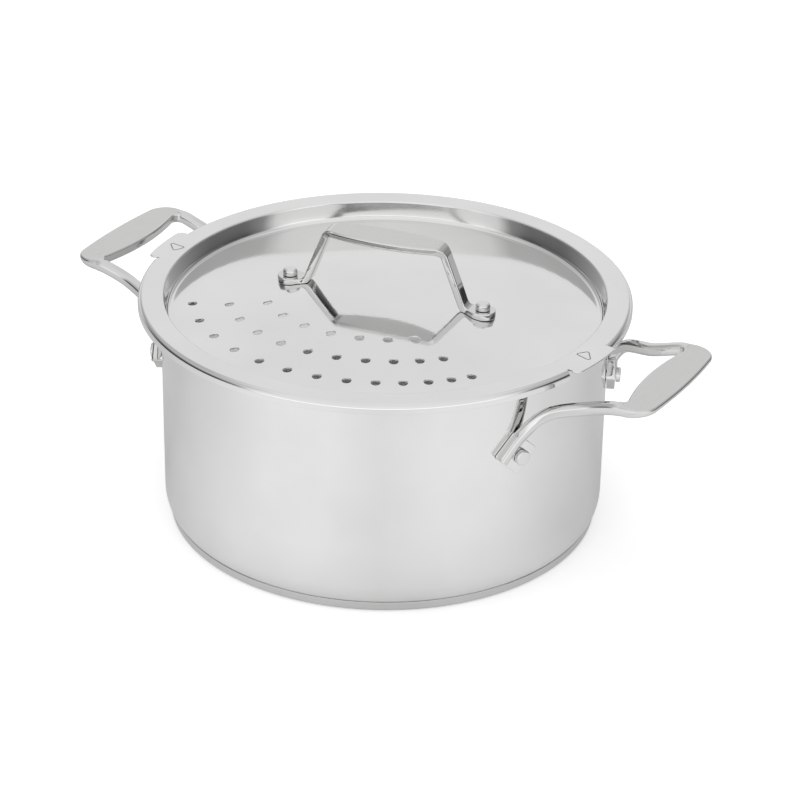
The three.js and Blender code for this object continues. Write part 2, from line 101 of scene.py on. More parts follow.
class PotSettings(bpy.types.PropertyGroup):
    """Sizes of the drawn pot and its capsule base."""

    radius: length("Radius", "Outside of the straight wall", 122)
    wall: length("Wall", "Thickness of the steel", 1.2)
    corner: length("Corner", "Outside radius between wall and bottom", 16.7)
    lip_height: length("Lip height", "Top of the flared lip above the table", LIP_HEIGHT / MM)
    lip_reach: length("Lip reach", "Lip beyond the wall", 9.2)
    lip_bend: length("Lip bend", "Radius under the lip", 5.5)
    lip_edge: length("Lip edge", "Rounding of the lip's edge", 0.5)
    base_inset: length("Base inset", "Edge of the base inside the wall", 3)
    base_height: length("Base height", "Top of the base cap above the table", 5.2)
    cap_sheet: length("Cap sheet", "Thickness of the base cap", 0.8)
    cap_edge: length("Cap edge", "Outside radius of the cap's lower edge", 1.6)
    fit: length("Fit", "Gap between pieces that touch", 0.3)


class HandleSettings(bpy.types.PropertyGroup):
    """Sizes of the two side handles."""

    reach: length("Reach", "Outer edge of the grip beyond the wall, at its middle", 59)
    width: length("Grip width", "Width of the grip at its middle", 22)
    length: length("Grip length", "Length over both arms", 86)
    thickness: length("Grip thickness", "Thickness of the grip at its middle", 5.5)
    top: length("Grip top", "Flat top of the grip above the table", GRIP_TOP / MM)
    edge: length("Grip edge", "Rounding along the flat top", 1.2)
    under_width: length("Underside width", "Width of the rounding under the outer edge", 10.5)
    under_height: length("Underside height", "Height of the rounding under the outer edge", 4)
    inner_under: length("Inner rounding", "Rounding under the inner edge", 2)
    outer_bow: length("Outer bow", "Outward curve of the outer edge", 1.5)
    inner_bow: length("Inner bow", "Inward curve of the inner edge", 4)
    corner: length("Corner", "Outer corner of the loop", 12)
    hole_corner: length("Hand hole corner", "Inner corner of the loop", 3.4)
    arm_width: length("Arm width", "Width of an arm", 6.8)
    arm_end: length("Arm end", "Width of an arm at its end on the pad", 5.8)
    arm_thickness: length("Arm thickness", "Thickness of an arm", 6.4)
    arm_edge: length("Arm edge", "Rounding of an arm's edges", 2.3)
    level_reach: length("Level reach", "Where an arm has levelled out, beyond the wall", 21)
    level_drop: length("Level drop", "Arm below the grip there", 5)
    shoulder_reach: length("Shoulder reach", "Shoulder of an arm beyond the wall", 13.5)
    shoulder_drop: length("Shoulder drop", "Shoulder below the grip", 11)
    pad_angle: turn("Pad angle", "Pads either side of the handle's middle", 25.5)
    pad_width: length("Pad width", "Width across the pad", 16.3)
    pad_shift: length("Pad shift", "Middle of the pad from its rivet, towards the arm", 2)
    pad_length: length("Pad length", "Length along the pad", 17.3)
    pad_corner: length("Pad corner", "Corner radius of the pad", 2)
    pad_edge: length("Pad edge", "Rounding along the pad's face", 0.5)
    pad_thickness: length("Pad thickness", "Thickness of the pad at its middle", 4.5)
    pad_tilt: turn("Pad tilt", "Upper end towards the handle's middle", 43)
    rod_shift: length("Rod shift", "Middle of the arm from the rivet, across the pad", 7.3)
    rod_rise: length("Rod rise", "Arm above the pad's face", 1)


class RivetSettings(bpy.types.PropertyGroup):
    """Sizes of the rivets."""

    height: length("Side rivet height", "Side rivets above the table", 86.5)
    shank: length("Side shank", "Radius of a side rivet's shank", 2.6)
    head: length("Side head", "Radius of a side rivet's head", 4.2)
    head_height: length("Side head height", "Height of a side rivet's head", 2.6)
    head_edge: length("Side head edge", "Rounding of a side rivet's head", 0.9)
    inner_head: length("Inner head", "Radius of a side rivet's inner head", 4.4)
    inner_height: length("Inner head height", "Height of a side rivet's inner head", 1.2)
    lid_shank: length("Lid shank", "Radius of a lid rivet's shank", 2.4)
    lid_head: length("Lid head", "Radius of a lid rivet's head", 4)
    lid_head_height: length("Lid head height", "Height of a lid rivet's head", 3.6)
    lid_head_edge: length("Lid head edge", "Rounding of a lid rivet's head", 1.6)
    lower_head: length("Lower head", "Radius of a lid rivet's lower head", 4.2)
    lower_height: length("Lower head height", "Height of a lid rivet's lower head", 1.2)


class LidSettings(bpy.types.PropertyGroup):
    """Sizes of the strainer lid."""

    sheet: length("Sheet", "Thickness of the steel", 0.9)
    side_gap: length("Side gap", "Between the lid's side and the inside of the pot", 1.3)
    skirt_gap: length("Skirt gap", "Between the pot's lip and the turned-down edge", 2.1)
    depth: length("Depth", "Trough below the ring", 11)
    crown_rise: length("Crown rise", "Middle of the pan above the trough", 10.5)
    cove: length("Cove", "Radius between trough and side", 3)
    flare: length("Flare", "Lean of the lid's side", 1.6)
    ring_bend: length("Ring bend", "Inner edge of the ring", 1.2)
    edge_bend: length("Edge bend", "Outer edge of the ring", 3)
    skirt_depth: length("Skirt depth", "Lower end of the turned-down edge below the ring", 5.4)
    tab_width: length("Tab width", "Width of a thumb tab", 35.5)
    tab_forward: turn("Tab forward", "Tabs from the handles' axis to the strainer's side", 6)
    tab_reach: length("Tab reach", "Thumb tab beyond the ring", 3.8)
    tab_notch: length("Tab notch", "Slit either side of a tab", 1.8)
    tab_corner: length("Tab corner", "Corner radius of a tab", 3.6)
    hole: length("Hole", "Radius of a strainer hole", 2.4)
    hole_edge: length("Hole edge", "Rolled edge round a hole", 0.35)
    hole_pitch: length("Hole pitch", "Holes along a row, at its middle", 16.6)
    pitch_change: length("Pitch change", "From one gap to the next along a row", -0.96)
    row_pitch: length("Row pitch", "Distance between rows", 19.2)
    rows: IntProperty(name="Rows", description="Rows of strainer holes", default=3, min=1, max=8)
    first_row_inset: length("First row inset", "Radius of the first row below the pan's radius", 45.7)
    first_row_holes: IntProperty(name="First row holes", description="Holes in the first row", default=7, min=1)
    more_holes: IntProperty(name="More holes", description="Holes that each further row has more", default=3)
    row_x: length("Row centre X", "Centre of the rows' arcs", -7.2)
    row_y: length("Row centre Y", "Centre of the rows' arcs", 16.3)
    row_direction: turn("Row direction", "Middle of the first row", -85.6)
    row_turn: turn("Row turn", "From one row's middle to the next", 3)
    hole_margin: length("Hole margin", "From a hole's middle to the edge of the pan", 4)
    mark_size: length("Mark size", "Length of an alignment mark", 10.5)
    mark_base: share("Mark base", "Half of a mark's base against its length", 0.36)
    mark_corner: length("Mark corner", "Rounding of a mark's corners", 1.1)
    mark_line: length("Mark line", "Width of a mark's line", 0.5)
    mark_height: length("Mark height", "Height of a mark's line", 0.05)
    mark_radius: length("Mark radius", "Middle of a mark from the lid's middle", 130)
    mark_turn: turn("Mark turn", "Mark's point from the radius", -31)


class LidHandleSettings(bpy.types.PropertyGroup):
    """Sizes of the handle on the lid."""

    turn: turn("Turn", "Handle from the side handles' axis", 9.1)
    foot_radius: length("Foot radius", "Rivet from the middle of the lid", 56.2)
    foot_width: length("Foot width", "Width of a foot", 14)
    foot_inner: length("Foot inner", "Foot from the rivet inwards", 10)
    foot_thickness: length("Foot thickness", "Foot's top above its seat", 3.2)
    strap: length("Strap", "Thickness of the strap", 4)
    strap_width: length("Strap width", "Width of the legs", 8)
    strap_edge: length("Strap edge", "Rounding of the strap's edges", 0.9)
    bend: length("Bend", "Radius of the strap's bends", 6)
    grip_length: length("Grip length", "Length of the level top", 66.5)
    grip_height: length("Grip height", "Top of the grip above the feet's seat", 36.5)
    grip_width: length("Grip width", "Width of the grip at its middle", 20)
    grip_end: length("Grip end", "Width of the grip at its ends", 13)


class FinishSettings(bpy.types.PropertyGroup):
    """Colours and gloss of the metals."""

    steel: colour("Polished steel", "Colour of the polished steel", (0.8, 0.8, 0.795))
    # The base cap's colour is darker than the pot's steel as painted shade, for the contact shadow that the cap
    # reflects
    base: colour("Base steel", "Colour of the base cap", (0.66, 0.66, 0.655))
    handle: colour("Handle steel", "Colour of the polished arms and legs", (0.7, 0.7, 0.695))
    satin: colour("Satin steel", "Colour of the satin grips", (0.67, 0.67, 0.66))
    rivet: colour("Rivet steel", "Colour of the rivets", (0.76, 0.76, 0.755))
    aluminium: colour("Aluminium", "Colour of the base's core", (0.46, 0.47, 0.48))
    mark: colour("Marks", "Colour of the alignment marks", (0.22, 0.22, 0.22))
    polish: share("Polish", "Roughness of the polished steel", 0.06)
    satin_polish: share("Satin polish", "Roughness of the satin grips", 0.3)
    inside_polish: share("Inside polish", "Roughness of the pot's brushed inside", 0.3)
    core_polish: share("Core polish", "Roughness of the base's core", 0.42)
    mark_polish: share("Mark polish", "Roughness of the alignment marks", 0.5)


class StageSettings(bpy.types.PropertyGroup):
    """Camera, light and floor."""

    azimuth: turn("Azimuth", "Camera round the pot, from the strainer's side", 30)
    elevation: turn("Elevation", "Camera above the horizon", 27.85)
    roll: turn("Roll", "Camera's roll", 0.97)
    distance: length("Distance", "Camera from its target", 1509.8)
    target: FloatVectorProperty(name="Target", description="Point in the middle of the view", size=3,
                                default=(0.00769, 0.00444, 0.06303), subtype="TRANSLATION", unit="LENGTH")
    lens: FloatProperty(name="Lens", description="Focal length in millimetres", default=122.535)
    floor: colour("Floor", "Colour of the floor", (0.8, 0.8, 0.8))
    ambient: share("Ambient", "Level of the room's light", 0.7)
    lamp: FloatProperty(name="Lamp", description="Power of the soft lamp", default=12, unit="POWER")
    inside_lamp: FloatProperty(name="Inside lamp", description="Power of the faint lamp that shows the holes' depth",
                               default=0.07, unit="POWER")


SETTINGS = (
    ("stockpot_pot", PotSettings),
    ("stockpot_handles", HandleSettings),
    ("stockpot_rivets", RivetSettings),
    ("stockpot_lid", LidSettings),
    ("stockpot_lid_handle", LidHandleSettings),
    ("stockpot_finishes", FinishSettings),
    ("stockpot_stage", StageSettings),
)


# Measures

# Powers that shape the crown's fall from the middle of the pan to its edge
CROWN_OUT = 2.5
CROWN_FALL = 2.75


def measures(scene):
    """Radii and heights that follow from the settings."""
    pot, lid, handles = scene.stockpot_pot, scene.stockpot_lid, scene.stockpot_handles
    m = SimpleNamespace()
    m.inside = pot.radius - pot.wall
    m.bottom = pot.base_height + pot.fit
    m.floor = m.bottom + pot.wall
    m.base = pot.radius - pot.base_inset
    m.lip = pot.radius + pot.lip_reach
    m.ring_top = pot.lip_height + pot.fit + lid.sheet
    m.ring = m.lip + lid.skirt_gap + lid.sheet
    m.side = m.inside - lid.side_gap - lid.sheet
    m.pan = m.side - lid.cove
    m.trough = m.ring_top - lid.depth
    m.flat_edge = m.ring - lid.edge_bend
    m.tab_edge = m.ring + lid.tab_reach
    m.pad_face = pot.radius + pot.fit + handles.pad_thickness
    m.crown_rise = lid.crown_rise
    m.foot_seat = crown_height(m, scene.stockpot_lid_handle.foot_radius) + pot.fit
    return m


def crown_height(m, radius):
    """Upper face of the pan: a broad crown that runs level into the trough."""
    out = min(radius / m.pan, 1.0)
    return m.trough + m.crown_rise * (1.0 - out ** CROWN_OUT) ** CROWN_FALL


# Lines and profiles

# A straight run longer than this many gaps is held level near its ends
LONG_RUN = 5


def between(first, second, part):
    """Value at a share of the way from one to another."""
    return first + (second - first) * part


def quarter(steps):
    """Angles of a quarter turn."""
    return [math.pi / 2 * k / steps for k in range(steps + 1)]


def arc(centre, radius, start, end, steps=BEND_STEPS):
    """Points on an arc of a profile, from one angle in degrees to another."""
    points = []
    for i in range(steps + 1):
        angle = math.radians(start + (end - start) * i / steps)
        points.append((centre[0] + radius * math.cos(angle), centre[1] + radius * math.sin(angle)))
    return points


def rounded(corners, steps=BEND_STEPS):
    """A line through (x, y, radius) corners, each rounded to its radius."""
    points = []
    for i, (x, y, radius) in enumerate(corners):
        if i in (0, len(corners) - 1) or radius <= 0:
            points.append((x, y))
            continue
        here = Vector((x, y))
        before = (Vector(corners[i - 1][:2]) - here).normalized()
        after = (Vector(corners[i + 1][:2]) - here).normalized()
        half = before.angle(after) / 2
        centre = here + (before + after).normalized() * (radius / math.sin(half))
        start = here + before * (radius / math.tan(half)) - centre
        end = here + after * (radius / math.tan(half)) - centre
        first = math.atan2(start.y, start.x)
        sweep = math.atan2(start.x * end.y - start.y * end.x, start.dot(end))
        for k in range(steps + 1):
            angle = first + sweep * k / steps
            points.append((centre.x + radius * math.cos(angle), centre.y + radius * math.sin(angle)))
    return distinct(points)


def distinct(points):
    """The points without those that repeat the one before."""
    kept = [points[0]]
    for point in points[1:]:
        if math.dist(point, kept[-1]) > LINE_TINY:
            kept.append(point)
    return kept


def held(points, gap=0.4 * MM):
    """Extra points near the ends of long straight runs, so that curved shading stays at the bends."""
    line = [points[0]]
    for start, end in zip(points, points[1:]):
        run = math.dist(start, end)
        if run > LONG_RUN * gap:
            for part in (gap / run, 1 - gap / run):
                line.append(tuple(a + (b - a) * part for a, b in zip(start, end)))
        line.append(end)
    return line


def sheet_back(line, thickness):
    """The other face of a sheet, to the right of the line's run."""
    back = []
    for i, (x, y) in enumerate(line):
        before = line[max(i - 1, 0)]
        after = line[min(i + 1, len(line) - 1)]
        run = math.dist(before, after)
        out = ((after[1] - before[1]) / run, -(after[0] - before[0]) / run)
        back.append((0.0, y - thickness) if x == 0 else (x + out[0] * thickness, y + out[1] * thickness))
    return back


def smooth_path(knots, steps):
    """Points on a smooth curve through the knots, with its pace set by their distances."""
    first = knots[0] * 2 - knots[1]
    last = knots[-1] * 2 - knots[-2]
    points = [first, *knots, last]
    path = []
    for i in range(1, len(points) - 2):
        p0, p1, p2, p3 = points[i - 1:i + 3]
        t1 = (p1 - p0).length ** 0.5
        t2 = t1 + (p2 - p1).length ** 0.5
        t3 = t2 + (p3 - p2).length ** 0.5
        for k in range(steps):
            t = t1 + (t2 - t1) * k / steps
            a1 = p0.lerp(p1, t / t1)
            a2 = p1.lerp(p2, (t - t1) / (t2 - t1))
            a3 = p2.lerp(p3, (t - t2) / (t3 - t2))
            b1 = a1.lerp(a2, t / t2)
            b2 = a2.lerp(a3, (t - t1) / (t3 - t1))
            path.append(b1.lerp(b2, (t - t1) / (t2 - t1)))
    path.append(knots[-1].copy())
    return path


def ease(value, low, high):
    """0 below low, 1 above high, and a smooth change between."""
    part = min(max((value - low) / (high - low), 0.0), 1.0)
    return part * part * (3 - 2 * part)


# Meshes

def to_object(name, form, materials):
    """A finished object from a bmesh, smooth but for its sharp edges."""
    bmesh.ops.remove_doubles(form, verts=form.verts, dist=MESH_TINY)
    bmesh.ops.recalc_face_normals(form, faces=form.faces)
    mesh = bpy.data.meshes.new(name)
    form.to_mesh(mesh)
    form.free()
    for material in materials:
        mesh.materials.append(material)
    shade(mesh)
    thing = bpy.data.objects.new(name, mesh)
    bpy.context.scene.collection.objects.link(thing)
    return thing


def shade(mesh):
    """Smooth shading, broken only at sharp edges."""
    mesh.shade_smooth()
    mesh.set_sharp_from_angle(angle=SHARP)


def turned(profile, steps=TURN_STEPS):
    """A closed profile of (radius, height) points turned round Z."""
    form = bmesh.new()
    rings = []
    for radius, height in profile:
        if radius < MESH_TINY:
            rings.append([form.verts.new((0, 0, height))])
            continue
        ring = []
        for i in range(steps):
            angle = 2 * math.pi * i / steps
            ring.append(form.verts.new((radius * math.cos(angle), radius * math.sin(angle), height)))
        rings.append(ring)
    for ring, following in zip(rings, rings[1:] + rings[:1]):
        join_rings(form, ring, following)
    return form


def join_rings(form, ring, following, material=lambda k: 0):
    """Faces between two closed rings of points, either of which may be a single point."""
    count = max(len(ring), len(following))
    if count == 1:
        return
    for k in range(count):
        after = (k + 1) % count
        corners = [ring[k % len(ring)], ring[after % len(ring)],
                   following[after % len(following)], following[k % len(following)]]
        form.faces.new(list(dict.fromkeys(corners))).material_index = material(k)


def lofted(sections, material=lambda i, k: 0):
    """A skin over sections with the same number of points, closed at its ends."""
    form = bmesh.new()
    rings = [[form.verts.new(point) for point in section] for section in sections]
    for i, (ring, following) in enumerate(zip(rings, rings[1:])):
        join_rings(form, ring, following, lambda k, i=i: material(i, k))
    form.faces.new(rings[0])
    form.faces.new(rings[-1])
    return form


def combined(thing, others, operation):
    """Joins other closed pieces to a closed piece, or cuts them away, and removes them."""
    for other in others:
        step = thing.modifiers.new("joint", "BOOLEAN")
        step.operation = operation
        step.solver = "EXACT"
        step.object = other
    applied(thing)
    for other in others:
        discard(other)
    shade(thing.data)


def applied(thing):
    """Turns what the modifiers make into the object's plain mesh."""
    graph = bpy.context.evaluated_depsgraph_get()
    graph.update()
    mesh = bpy.data.meshes.new_from_object(thing.evaluated_get(graph), depsgraph=graph)
    if not mesh.polygons:
        raise RuntimeError(f"{thing.name} came out empty")
    old = thing.data
    thing.modifiers.clear()
    thing.data = mesh
    mesh.name = thing.name
    bpy.data.meshes.remove(old)


def discard(thing):
    """Removes an object and its mesh."""
    mesh = thing.data
    bpy.data.objects.remove(thing)
    bpy.data.meshes.remove(mesh)


# Bars: steps round an edge and the underside, where the top is held level, and which runs are the flat top
EDGE_STEPS = 5
UNDER_STEPS = 7
LEVEL_HOLD = 0.3 * MM
FLAT_TOP = range(4)


def bar_section(width, top, bottom, edge, outer_under, inner_under):
    """Section of a bar: a flat top with rounded edges over a rounded underside.
    The first four runs are the flat top, from its inner to its outer edge."""
    half = width / 2
    flat = half - edge
    hold = min(LEVEL_HOLD, flat / 3)
    corner = arc((flat, top - edge), edge, 90, 0, EDGE_STEPS)[1:]

    def side(under):
        wide, high = under
        return corner + [(half - wide + wide * math.cos(a), bottom + high - high * math.sin(a))
                         for a in quarter(UNDER_STEPS)]

    points = [(x, top) for x in (-flat, hold - flat, 0.0, flat - hold, flat)]
    points += side(outer_under) + [(0.0, bottom)]
    points += [(-x, y) for x, y in reversed(side(inner_under))]
    return points


# Node trees

class Nodes:
    """A node tree under construction."""

    def __init__(self, tree):
        self.nodes, self.links = tree.nodes, tree.links

    def node(self, kind, inputs=None, **values):
        """Adds a node. An input is a socket to link, a list of them, or a plain value."""
        made = self.nodes.new(kind)
        for key, value in values.items():
            setattr(made, key, value)
        for key, value in (inputs or {}).items():
            for given in value if isinstance(value, list) else [value]:
                if isinstance(given, bpy.types.NodeSocket):
                    self.links.new(given, made.inputs[key])
                else:
                    made.inputs[key].default_value = given
        return made

    def maths(self, operation, first, second=None):
        inputs = {0: first} if second is None else {0: first, 1: second}
        return self.node("ShaderNodeMath", inputs, operation=operation).outputs[0]

    def dot(self, first, second):
        return self.node("ShaderNodeVectorMath", {0: first, 1: second}, operation="DOT_PRODUCT").outputs["Value"]

    def mixed(self, part, first, second):
        return self.node("ShaderNodeMix", {0: part, 2: first, 3: second}).outputs[0]

    def round_about(self, place, right):
        """Share of half a turn between the camera's side and a place, the same to the left as to the right."""
        aside = self.maths("ABSOLUTE", self.dot(place, right))
        angle = self.maths("ARCTAN2", aside, self.dot(place, (right.y, -right.x, 0)))
        return self.maths("DIVIDE", angle, math.pi)

    def tones(self, value, stops, interpolation="LINEAR"):
        """Grey levels by a value, from stops of (position, level)."""
        made = self.node("ShaderNodeValToRGB", {"Fac": value})
        ramp = made.color_ramp
        ramp.interpolation = interpolation
        for position, _ in stops[1:-1]:
            ramp.elements.new(position)
        for element, (position, level) in zip(ramp.elements, stops):
            element.position = position
            element.color = (level, level, level, 1.0)
        return made.outputs["Color"]


# Materials

# A noise's usual values, which are stretched to a finish's range
NOISE_LOW, NOISE_HIGH = 0.3, 0.7

# How far polishing lines change the gloss, and clouds the gloss and the colour
LINE_GLOSS = (0.8, 1.2)
CLOUD_GLOSS = (0.85, 1.15)
CLOUD_COLOUR = (0.97, 1.02)

# Clouds and long waves to a metre
CLOUD_SCALE = 22.0
WAVE_SCALE = 14.0

# Depth of polishing lines, and lines to a metre across them
FINE = 0.5e-6
POLISHED = 1400.0
BRUSHED = 900.0


class Finish(Nodes):
    """A material under construction."""

    def __init__(self, name):
        self.material = bpy.data.materials.new(name)
        self.material.use_nodes = True
        super().__init__(self.material.node_tree)
        self.shader = self.nodes["Principled BSDF"]
        self.place = self.node("ShaderNodeTexCoord").outputs["Object"]

    def noise(self, place, **inputs):
        return self.node("ShaderNodeTexNoise", {"Vector": place, **inputs}).outputs["Fac"]

    def spread(self, value, low, high):
        """Stretches a noise's usual values to a range."""
        return self.node("ShaderNodeMapRange", {"Value": value, "From Min": NOISE_LOW, "From Max": NOISE_HIGH,
                                                "To Min": low, "To Max": high}).outputs["Result"]

    def cloudy(self, cloud, tint, low, high):
        """A colour that is a little darker or paler by a cloud."""
        made = self.node("ShaderNodeValToRGB", {"Fac": cloud})
        for element, level in zip(made.color_ramp.elements, (low, high)):
            element.color = (*[min(part * level, 1.0) for part in tint], 1.0)
        return made.outputs["Color"]

    def bump(self, height, depth):
        return self.node("ShaderNodeBump", {"Strength": 1.0, "Distance": depth, "Height": height})


def wound(across, around=1.2):
    """Place for a noise whose lines run round Z, as on a turned piece."""
    def place(finish):
        x, y, z = finish.node("ShaderNodeSeparateXYZ", {0: finish.place}).outputs
        flat = finish.node("ShaderNodeCombineXYZ", {0: x, 1: y}).outputs[0]
        radius = finish.node("ShaderNodeVectorMath", {0: flat}, operation="LENGTH").outputs["Value"]
        return finish.node("ShaderNodeCombineXYZ", {
            0: finish.maths("MULTIPLY", radius, across),
            1: finish.maths("MULTIPLY", z, across),
            2: finish.maths("MULTIPLY", finish.maths("ARCTAN2", y, x), around),
        }).outputs[0]
    return place


def grained(stretch, turn_by=0.0):
    """Place for a noise whose lines run straight, after a turn about Z."""
    def place(finish):
        level = finish.node("ShaderNodeMapping", {"Vector": finish.place, "Rotation": (0, 0, turn_by)}).outputs[0]
        return finish.node("ShaderNodeMapping", {"Vector": level, "Scale": stretch}).outputs[0]
    return place


def metal(scene, name):
    """The named metal: fine lines in its gloss and height, a faint cloud in its gloss and colour.
    Each has its colour, its roughness, the run of its lines, their depth, and the depth of long waves."""
    if name in bpy.data.materials:
        return bpy.data.materials[name]
    look = scene.stockpot_finishes
    even = grained((500, 500, 500))
    along_grip = grained((90, 2600, 2600), -scene.stockpot_lid_handle.turn)
    tint, polish, lines, depth, wave = {
        "polished_pot": (look.steel, look.polish, wound(POLISHED), FINE, 0.1 * MM),
        "brushed_inside": (look.steel, look.inside_polish, wound(BRUSHED), 4 * FINE, 0),
        # The base cap's darker colour is painted shade
        "polished_base": (look.base, 1.5 * look.polish, wound(POLISHED), FINE, 0),
        "bare_core": (look.aluminium, look.core_polish, wound(BRUSHED, 3.0), 12 * FINE, 0),
        "polished_handle": (look.handle, look.polish, even, FINE, 0),
        "polished_pad": (look.steel, 1.5 * look.polish, even, FINE, 0),
        "satin_side_grip": (look.satin, look.satin_polish, grained((2600, 90, 2600)), 8 * FINE, 0),
        "polished_lid": (look.steel, 1.4 * look.polish, wound(POLISHED), FINE, 0.08 * MM),
        "satin_lid_grip": (look.satin, look.satin_polish, along_grip, 8 * FINE, 0),
        "polished_rivet": (look.rivet, 3.6 * look.polish, grained((900, 900, 900)), 2 * FINE, 0),
        "grey_mark": (look.mark, look.mark_polish, grained((3000, 3000, 3000)), 4 * FINE, 0),
    }[name]
    finish = Finish(name)
    line = finish.noise(lines(finish), Scale=1.0, Detail=3.0, Roughness=0.6)
    cloud = finish.noise(finish.place, Scale=CLOUD_SCALE, Detail=3.0)
    gloss = finish.maths("MULTIPLY", finish.spread(line, *LINE_GLOSS),
                         finish.spread(cloud, *[polish * level for level in CLOUD_GLOSS]))
    bump = finish.bump(line, depth)
    if wave:
        swell = finish.bump(finish.noise(finish.place, Scale=WAVE_SCALE, Detail=1.0), wave)
        finish.links.new(swell.outputs["Normal"], bump.inputs["Normal"])
    inputs = finish.shader.inputs
    inputs["Metallic"].default_value = 1.0
    finish.links.new(gloss, inputs["Roughness"])
    finish.links.new(finish.cloudy(finish.spread(cloud, 0.0, 1.0), tint, *CLOUD_COLOUR), inputs["Base Color"])
    finish.links.new(bump.outputs["Normal"], inputs["Normal"])
    return finish.material


# Geometry node trees

# Longest drop from above the lid to its face, in metres
LONGEST_DROP = 1.0


class Tree(Nodes):
    """A geometry node tree under construction, with named inputs."""

    def __init__(self, name, inputs):
        self.group = bpy.data.node_groups.new(name, "GeometryNodeTree")
        self.group.is_modifier = True
        super().__init__(self.group)
        face = self.group.interface
        self.sockets = {}
        for label, kind in (("Geometry", "Geometry"), *inputs):
            self.sockets[label] = face.new_socket(label, in_out="INPUT", socket_type=f"NodeSocket{kind}")
        face.new_socket("Geometry", in_out="OUTPUT", socket_type="NodeSocketGeometry")
        self.source = self.nodes.new("NodeGroupInput")
        self.result = self.nodes.new("NodeGroupOutput")

    def given(self, label):
        return self.source.outputs[label]

    def combined(self, parts):
        return self.node("ShaderNodeCombineXYZ", parts).outputs[0]

    def points(self, count, place):
        return self.node("GeometryNodePoints", {"Count": count, "Position": place}).outputs[0]

    def on_circle(self, radius, angle, centre=(0.0, 0.0)):
        """Place on a circle about a centre that is given as two values or sockets."""
        return self.combined({
            axis: self.maths("ADD", middle, self.maths("MULTIPLY", radius, self.maths(part, angle)))
            for axis, (middle, part) in enumerate(zip(centre, ("COSINE", "SINE")))
        })

    def copies(self, points, thing, **turn):
        return self.node("GeometryNodeInstanceOnPoints", {"Points": points, "Instance": thing, **turn}).outputs[0]

    def finish(self, geometry, material):
        whole = self.node("GeometryNodeRealizeInstances", {"Geometry": geometry})
        coated = self.node("GeometryNodeSetMaterial", {"Geometry": whole.outputs[0], "Material": material})
        self.links.new(coated.outputs[0], self.result.inputs[0])

    def run(self, thing, values):
        """Puts the tree on an object, sets its inputs and turns the result into the object's mesh."""
        step = thing.modifiers.new(self.group.name, "NODES")
        step.node_group = self.group
        for label, value in values.items():
            step[self.sockets[label].identifier] = value
        applied(thing)
        bpy.data.node_groups.remove(self.group)


def side_rivet_tree(material):
    """Copies of a rivet that lies along Z, turned to lie on the pot's radii, two to each side."""
    tree = Tree("Side rivets", [("Pad angle", "Float"), ("Height", "Float"), ("Count", "Int")])
    maths, given = tree.maths, tree.given
    index = tree.node("GeometryNodeInputIndex").outputs[0]
    half_turn = maths("MULTIPLY", maths("FLOOR", maths("DIVIDE", index, 2.0)), math.pi)
    side = maths("SUBTRACT", maths("MULTIPLY", maths("MODULO", index, 2.0), 2.0), 1.0)
    angle = maths("ADD", half_turn, maths("MULTIPLY", side, given("Pad angle")))
    points = tree.points(given("Count"), tree.combined({2: given("Height")}))
    euler = tree.combined({1: math.pi / 2, 2: angle})
    rotation = tree.node("FunctionNodeEulerToRotation", {0: euler}).outputs[0]
    tree.finish(tree.copies(points, given("Geometry"), Rotation=rotation), material)
    return tree


def lid_rivet_tree(material):
    """Copies of a rivet that stands along Z, spread evenly on a circle."""
    tree = Tree("Lid rivets", [("Turn", "Float"), ("Radius", "Float"), ("Count", "Int")])
    maths, given = tree.maths, tree.given
    index = tree.node("GeometryNodeInputIndex").outputs[0]
    step = maths("DIVIDE", 2 * math.pi, given("Count"))
    angle = maths("ADD", given("Turn"), maths("MULTIPLY", index, step))
    points = tree.points(given("Count"), tree.on_circle(given("Radius"), angle))
    tree.finish(tree.copies(points, given("Geometry")), material)
    return tree


